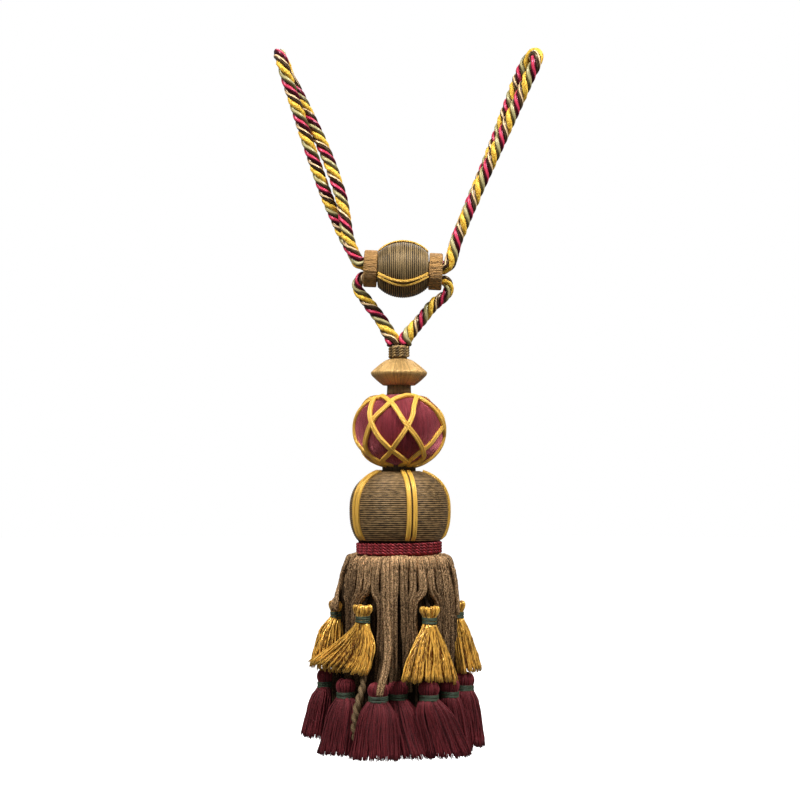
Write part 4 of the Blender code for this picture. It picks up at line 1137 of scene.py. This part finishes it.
def apart_from(bearing, row):
    return (row[0] - bearing + 180) % 360 - 180


# Below is a strip's tone under its loop, top is the painted light on its loop, and the fall is its painted
# shade further down.
def add_strip(knots, below, top=None, shade_fall=0.0):
    rings = strip_rings(knots, len(lofts))
    lofts.append((rings, strip_light_and_shade(len(rings), below if top is None else top, below, shade_fall), 0))


OUTER_STRIPS = 36
# These gold tassels part the strips they hang between. The fourth lies over whole ones.
PARTING_TASSELS = GOLD_TASSELS[:3] + GOLD_TASSELS[4:]
PARTING_REACH = 22
PARTING_PUSH = 13.5
for i in range(OUTER_STRIPS):
    bearing = 360 * (i + 0.5) / OUTER_STRIPS - 180
    waver = draw.uniform(-1, 1)
    pushed, closeness = 0.0, 0.0
    for row in PARTING_TASSELS:
        apart = apart_from(bearing, row)
        if abs(apart) < PARTING_REACH:
            near = 1 - abs(apart) / PARTING_REACH
            closeness = max(closeness, near)
            pushed = -math.copysign(PARTING_PUSH * near, apart)
    knee = 40.6 - 2.4 * closeness
    crest = -349.4 + draw.uniform(-0.7, 0.9)
    wide = draw.uniform(0.82, 1.04)
    add_strip([
        (bearing, 28.5, -350.5, 0.85, 0),
        (bearing, 32.0, crest, 0.95, draw.uniform(-8, 8)),
        (bearing, 35.4, crest - 1.9, 1.0, draw.uniform(-8, 8)),
        (bearing + 0.4 * waver, 37.4, -361.0, 0.96 * wide, draw.uniform(-16, 16)),
        (bearing + 0.9 * waver + 0.1 * pushed, 39.4 - 0.6 * closeness, -371.5, 0.92 * wide,
         draw.uniform(-24, 24)),
        (bearing + 1.3 * waver + 0.9 * pushed, knee, -379.5, 0.86 * wide, draw.uniform(-30, 30)),
        (bearing + 1.8 * waver + pushed, knee, -395.0, 0.84 * wide, draw.uniform(-34, 34)),
        (bearing + 2.4 * waver + 0.8 * pushed, knee + 0.4, -412.0, 0.80 * wide, draw.uniform(-38, 38)),
        (bearing + 3.0 * waver + 0.4 * pushed, knee - 0.6, -436.0 + draw.uniform(-5, 4), 0.76 * wide,
         draw.uniform(-38, 38)),
    ], draw.uniform(0.32, 0.76), 2.3, 0.9)
for knots in SIDE_STRIPS:
    add_strip(knots, 0.75, 1.7)
# Painted shade: the backing strips are near black.
for knots in BACKING_STRIPS:
    add_strip(knots, 0.10)
# Short strips up to the parting tassels' heads, painted near black as the shade in the parted gaps.
for row in PARTING_TASSELS[1:]:
    bearing, distance, top = row[:3]
    add_strip([
        (bearing, 33.0, -362.0, 0.4, 0),
        (bearing, distance - 6.0, top + 5, 0.3, draw.uniform(-20, 20)),
        (bearing, distance - 1.0, top - 2.0, 0.4, 0),
    ], 0.03)
# The inner layer is painted dark, as the shade behind the outer strips.
INNER_STRIPS = 34
for i in range(INNER_STRIPS):
    bearing = 360 * i / INNER_STRIPS - 180
    waver = draw.uniform(-1, 1)
    end, end_distance = (-431.0, 34.5) if abs(bearing) < 14 else (-456.0, 39.0)
    add_strip([
        (bearing, 28.0, -354.0, 0.9, 0),
        (bearing, 31.5, -366.0, 1.0, 0),
        (bearing + waver, 34.5, -384.0, 1.0, draw.uniform(-14, 14)),
        (bearing + 2 * waver, 36.5 if end_distance > 36 else 34.5, -410.0, 1.0, draw.uniform(-20, 20)),
        (bearing + 2 * waver, end_distance, end + draw.uniform(-3, 3), 1.0, draw.uniform(-20, 20)),
    ], draw.uniform(0.03, 0.16))
for row in BURGUNDY_TASSELS:
    bearing, distance, top = row[:3]
    add_strip([
        (bearing, 33.0, -400.0, 0.6, 0),
        (bearing, 33.0 if distance < 40 else 38.0, -418.0, 0.6, draw.uniform(-20, 20)),
        (bearing, distance - 1.5, top + 2, 0.5, 0),
        (bearing, distance, top - 3, 0.4, 0),
    ], draw.uniform(0.2, 0.5))
add_strip(LOOSE_STRIP, 0.85, 1.5)
# The yarn's loops over the heading, three to a strip, painted pale as light on their tops.
PUCKERS = 108
for i in range(PUCKERS):
    bearing = 360 * (i + draw.uniform(0.2, 0.8)) / PUCKERS
    rise = draw.uniform(-0.6, 0.8)
    drop = draw.uniform(3.5, 8.0)
    slip = draw.uniform(-1.8, 1.8)
    knots = np.array([
        (bearing, 31.6, -350.0 + rise), (bearing + slip, 34.0, -348.8 + rise),
        (bearing + 1.4 * slip, 36.6, -350.8 + rise), (bearing, 38.4, -351.4 - drop),
    ])
    line = spline(bearing_rows(*knots.T), 1.0) * MM
    thick = draw.uniform(0.6, 1.05) * MM
    lofts.append((tube(line, thick * np.linspace(1, 0.5, len(line)), 6), draw.uniform(1.6, 3.0), 0))
HEADING_OUTLINE = [
    (27.0, -348.8), (30.5, -349.4), (33.5, -351.0), (33.5, -356.0), (34.0, -440.0), (4.0, -441.0),
]
ring = [(math.sin(a), math.cos(a)) for a in np.arange(72) * math.pi / 36]
heading = np.array([
    [(radius * MM * x, radius * MM * y, z * MM) for x, y in ring] for radius, z in HEADING_OUTLINE
])
# The heading is painted pale at its top, as light, and near black from there down, as the shade behind the
# strips.
lofts.append((heading[:, ::-1], np.array([1.2, 1.2, 1.2, 0.3, 0.02, 0.02]), 0))
skirt = woven("knitted_skirt", lofts, [taupe_knit])
fitted(skirt, "skirt")


# Small tassels: a hank of thread folded over, tied off below its head with green thread, its ends cut.
# Seven of gold rayon hang from the outer strips, and twelve of burgundy wool thread from the inner ones.

# Drop from the top, half width and half depth of each kind's head and cut threads, in millimetres.
GOLD_HEAD = [
    (1.0, 5.6, 4.2), (1.5, 6.6, 5.0), (2.4, 6.8, 5.3), (3.7, 6.6, 5.3),
    (5.0, 6.0, 4.9), (6.4, 5.0, 4.3), (7.6, 4.4, 3.9), (12.2, 4.4, 3.9),
]
GOLD_SKIRT = [(12.2, 4.4, 3.9), (16.5, 7.0, 5.0), (27.0, 12.6, 6.2), (38.0, 17.0, 6.8), (48.5, 20.4, 7.2)]
BURGUNDY_HEAD = [
    (0.0, 2.6, 2.2), (0.5, 4.6, 3.9), (1.6, 6.0, 5.1), (3.3, 7.0, 6.0),
    (5.0, 7.2, 6.2), (6.8, 6.8, 5.9), (8.4, 6.1, 5.3), (12.6, 6.0, 5.2),
]
BURGUNDY_SKIRT = [
    (12.6, 6.0, 5.2), (14.5, 8.8, 6.8), (18.5, 11.4, 8.2), (26.0, 13.4, 9.0), (38.0, 14.8, 9.4),
    (49.5, 16.4, 9.8),
]


def fringe_yarn(
    name, dark, light, roughness, grain, relief, sheen, specular, gleam, lustre=0.0, curl_glint_and_shade=0.22, drawn=1.0,
):
    """Cut thread: each has its own tone, and fine curls drawn out along it,
    painted light on their tops and dark in their hollows, as painted glints and shade.
    """
    material, tree, shader, factor = yarn(name, dark, light, roughness, sheen, specular, lustre, gleam)
    curls = object_noise(tree, grain, 2.0, (1.0, 1.0, drawn), 0.6)
    spread = add_node(tree, "ShaderNodeMapRange", {
        "Value": curls, "From Min": 0.38, "From Max": 0.62, "To Min": -curl_glint_and_shade, "To Max": curl_glint_and_shade,
    })
    tree.links.new(calculated(tree, "ADD", spread.outputs["Result"], stored(tree, "tone")), factor)
    raise_bump(tree, shader, curls, relief, 0.8)
    return material


gold_thread = fringe_yarn(
    "gold_thread", (0.13, 0.036, 0.003), (1.0, 0.55, 0.093), 0.24, 900.0, 0.5 * MM, 0.2, 1.0,
    (1.0, 0.82, 0.42), 0.25, 0.48, 0.3,
)
burgundy_thread = fringe_yarn(
    "burgundy_thread", (0.016, 0.003, 0.003), (0.175, 0.023, 0.028), 0.55, 1200.0, 0.4 * MM, 0.1, 0.3,
    (1.0, 0.5, 0.55),
)
green_tie = spun_yarn("green_tie", (0.004, 0.008, 0.004), (0.050, 0.075, 0.042), 3, 0, 0.2 * MM, 0.55)


def hang(place, drops, sides, outs, rise=1.0):
    """Points below a small tassel's top, drawn out and sideways towards its hem as it hangs."""
    share = np.clip((drops - place["tie"]) / ((place["hem"] - place["tie"]) * rise), 0, 1) ** place["bow"]
    side = sides + place["sweep"] * share
    out = outs + place["lean"] * share
    down = np.zeros(drops.shape + (3,))
    down[..., 2] = -drops
    return (place["top"] + down + side[..., None] * place["side"] + out[..., None] * place["out"]) * MM


def hem_rise(place, angle):
    """How much of its drop a thread keeps at this angle round the tassel."""
    side = abs(place["up_side"]) * (1 + math.copysign(1, place["up_side"]) * np.cos(angle)) / 2
    return 1 - side - place["up_out"] * (1 + np.sin(angle)) / 2


def half_sizes(place, skirt, drops):
    """Half width and half depth of the cut threads at drops below the tie."""
    table = np.array(skirt)
    start, end = table[0, 0], table[-1, 0]
    share = np.clip((drops - start) / (place["hem"] - start), 0, 1)
    eased = start + (end - start) * share ** (0.5 + 0.5 * place["bow"])
    ramp = np.clip(share * 4, 0, 1)
    wide = np.interp(eased, table[:, 0], table[:, 1]) * (1 + (place["breadth"] - 1) * ramp)
    deep = np.interp(eased, table[:, 0], table[:, 2]) * (1 + (place["depth"] - 1) * ramp)
    return wide, deep


def head_lofts(place, head, dice, count, evenness):
    """The head: threads side by side, each looped over the top of a round bundle."""
    lofts = []
    rows = spline(head, 0.8)
    angle = np.arange(24) * math.pi / 12
    drops = np.broadcast_to(rows[:, 0][:, None], (len(rows), 24))
    wide, deep = rows[:, 1][:, None] * np.cos(angle), rows[:, 2][:, None] * np.sin(angle)
    core = hang(place, drops, wide * 0.93, deep * 0.93)
    # The bundle under the head's threads is painted dark, as shade.
    lofts.append((core, 0.15 + 0.4 * evenness, 0))
    rows = spline(head, 1.1)
    for number in range(count):
        turn = 2 * math.pi * (number + dice.uniform(0.2, 0.8)) / count
        slant = turn + dice.normal(0, 0.012) * rows[:, 0]
        drop = rows[:, 0] + dice.uniform(-0.8, 0.3) * np.exp(-rows[:, 0] / 2) * (1 - 0.7 * evenness)
        line = hang(place, drop, rows[:, 1] * np.cos(slant) * 0.97, rows[:, 2] * np.sin(slant) * 0.97)
        radius = 2 * math.pi * head[2][1] / count * dice.uniform(0.42, 0.56) * MM
        # Each thread darkens towards the tie: painted shade under the head's curve.
        tones = dice.uniform(0.5 + 0.35 * evenness, 1.05) * (1 - 0.45 * (rows[:, 0] / rows[-1, 0]) ** 2)
        lofts.append((tube(line, radius, 4), tones, 0))
    return lofts


def skirt_lofts(
    place, skirt, dice, locks, per_lock, thread_radius, curl, tightness, gloom, painted_inside_shade, lock_tones,
    own_tones,
):
    """The cut threads, gathered in locks round the bundle's inside, which is painted dark as shade."""
    top = skirt[0][0]
    angle = np.arange(24) * math.pi / 12
    drops = np.linspace(top - 1, place["hem"] - 3.0, 12)
    wide, deep = half_sizes(place, skirt, drops)
    rise = hem_rise(place, angle)
    inside = hang(
        place, top + (np.broadcast_to(drops[:, None], (12, 24)) - top) * rise,
        wide[:, None] * np.cos(angle) * 0.80, deep[:, None] * np.sin(angle) * 0.80, rise,
    )
    lofts = [(inside, painted_inside_shade, 0)]
    length = np.linspace(0, 1, 11)
    for lock in range(locks):
        lock_turn = 2 * math.pi * (lock + dice.uniform(0.1, 0.9)) / locks
        lock_depth = dice.uniform(0.86, 1.0)
        lock_tone = dice.normal(*lock_tones)
        lock_cut = dice.normal(0, 0.5)
        bend, pace = dice.uniform(0, 6), dice.uniform(3, 8)
        lock_wave = dice.normal(0, 1.6 * curl, 2)[:, None] * np.sin(length * pace + bend)
        lock_wave *= np.clip(length * 3, 0, 1)
        for number in range(per_lock):
            turn = lock_turn + dice.normal(0, tightness * 2 * math.pi / locks)
            depth = lock_depth * (1 - abs(dice.normal(0, 0.06)))
            rise = float(hem_rise(place, turn))
            full = (place["hem"] - top + 1.5) * rise + lock_cut + dice.normal(0, 0.5)
            drop = top - 1.5 + full * length
            wide, deep = half_sizes(place, skirt, top + (drop - top) / rise)
            bend, pace = dice.uniform(0, 6), dice.uniform(8, 26)
            swing = np.sin(length * pace + bend) * np.clip(length * 4, 0, 1)
            wave = lock_wave + dice.normal(0, 0.6 * curl, 2)[:, None] * swing
            splay = 1 + dice.normal(0, 0.035) * length**3
            side = wide * depth * math.cos(turn) * splay + wave[0]
            out = deep * depth * math.sin(turn) * splay + wave[1]
            line = hang(place, drop, side, out, rise)
            # Painted shade: threads deeper in the bundle are darker.
            shaded = gloom + (1 - gloom) * (depth - 0.8) / 0.2
            tone = np.clip(lock_tone + dice.normal(0, own_tones), 0.05, 1.3) * shaded
            tones = tone * (1 + 0.25 * np.exp(-length * 6)) + 0.55 * length**5
            lofts.append((tube(line, thread_radius * (1 - 0.3 * length**4), 3, phase=bend), tones, 0))
    return lofts


TIE_TURNS = 5
TIE_THREAD_RADIUS = 0.62 * MM


def tie_lofts(place, head):
    """Turns of green thread pulled tight round the neck, each a ring of its own."""
    head = np.array(head)
    top, bottom = head[-2, 0], head[-1, 0]
    wide, deep = head[-1, 1] + 0.35, head[-1, 2] + 0.35
    angle = np.linspace(0, 2 * math.pi, 33)
    lofts = []
    for turn in range(TIE_TURNS):
        level = top + (turn + 0.5) * (bottom - top) / TIE_TURNS
        drops = np.full(33, level) + 0.35 * np.sin(angle + 2 * turn)
        line = hang(place, drops, wide * np.cos(angle), deep * np.sin(angle))
        lofts.append((tube(line, TIE_THREAD_RADIUS, 6), 0.7 if turn % 2 else 0.2, 0))
    return lofts


# Kind, rows, head, cut threads, material, head threads, how even the head is, locks, threads to a lock,
# thread radius, curl, how tightly a lock gathers, how dark its inner threads are painted as shade, the
# bundle's inside tone as painted shade, the middle and spread of the locks' tones, and the spread of the
# threads' own.
SETS = (
    ("gold", GOLD_TASSELS, GOLD_HEAD, GOLD_SKIRT, gold_thread, 30, 0.0,
     44, 7, 0.40 * MM, 0.40, 0.22, 0.30, 0.0, (1.06, 0.30), 0.46),
    ("burgundy", BURGUNDY_TASSELS, BURGUNDY_HEAD, BURGUNDY_SKIRT, burgundy_thread, 44, 0.8,
     74, 5, 0.42 * MM, 0.22, 0.60, 0.55, 0.25, (0.60, 0.07), 0.12),
)
for kind, tassels, head, skirt_rows, material, head_threads, evenness, *threads in SETS:
    for i, row in enumerate(tassels):
        bearing, distance, top, lean, sweep, breadth, depth, bow, hem, up_side, up_out = row
        out, side = bearing_rows(np.array([bearing, bearing + 90]), np.ones(2), np.zeros(2))
        place = {
            "top": out * distance + np.array([0, 0, top]), "out": out, "side": side, "tie": skirt_rows[0][0],
            "hem": hem, "lean": lean, "sweep": sweep, "breadth": breadth, "depth": depth, "bow": bow,
            "up_side": up_side, "up_out": up_out,
        }
        dice = np.random.default_rng(100 + i)
        lofts = head_lofts(place, head, dice, head_threads, evenness)
        lofts += skirt_lofts(place, skirt_rows, dice, *threads)
        small = woven(f"{kind}_hank_{i + 1:02d}", lofts, [material])
        fitted(small, f"{kind}_tassel_{i + 1:02d}")
        tie = woven(f"{kind}_hank_tie_{i + 1:02d}", tie_lofts(place, head), [green_tie])
        fitted(tie, f"{kind}_tie_{i + 1:02d}")


# Bullion: one thick taupe yarn, folded and twisted on itself, that hangs from the skirt between
# two burgundy tassels.

BULLION_PITCH = 13.0 * MM
# Bearing, distance, height and radius down the yarn, in millimetres.
BULLION_ROUTE = [
    (-31.5, 41.0, -425.0, 1.6), (-32.5, 44.5, -430.5, 2.1), (-32.2, 47.0, -438.0, 2.6),
    (-34.2, 49.5, -448.0, 2.8), (-35.8, 50.0, -458.0, 2.85), (-36.5, 50.0, -466.0, 2.6),
    (-36.7, 49.8, -470.5, 1.8), (-36.7, 49.5, -471.8, 0.8),
]

bullion_yarn = spun_yarn(
    "bullion_yarn", (0.008, 0.005, 0.002), (0.19, 0.12, 0.055), 7, 40, 0.3 * MM, 0.65, 1.3
)
knots = np.array(BULLION_ROUTE)
rows = spline(np.column_stack([bearing_rows(*knots[:, :3].T), knots[:, 3]]), 1.0) * MM
line = rows[:, :3]
strands = laid_strands(line, rows[:, 3], 2, -travelled(line) / BULLION_PITCH, 14, (1, 0, 0), 1.15)
bullion = woven("twisted_bullion", [(rings, 0.5, 0) for rings in strands], [bullion_yarn])
fitted(bullion, "bullion_cord")
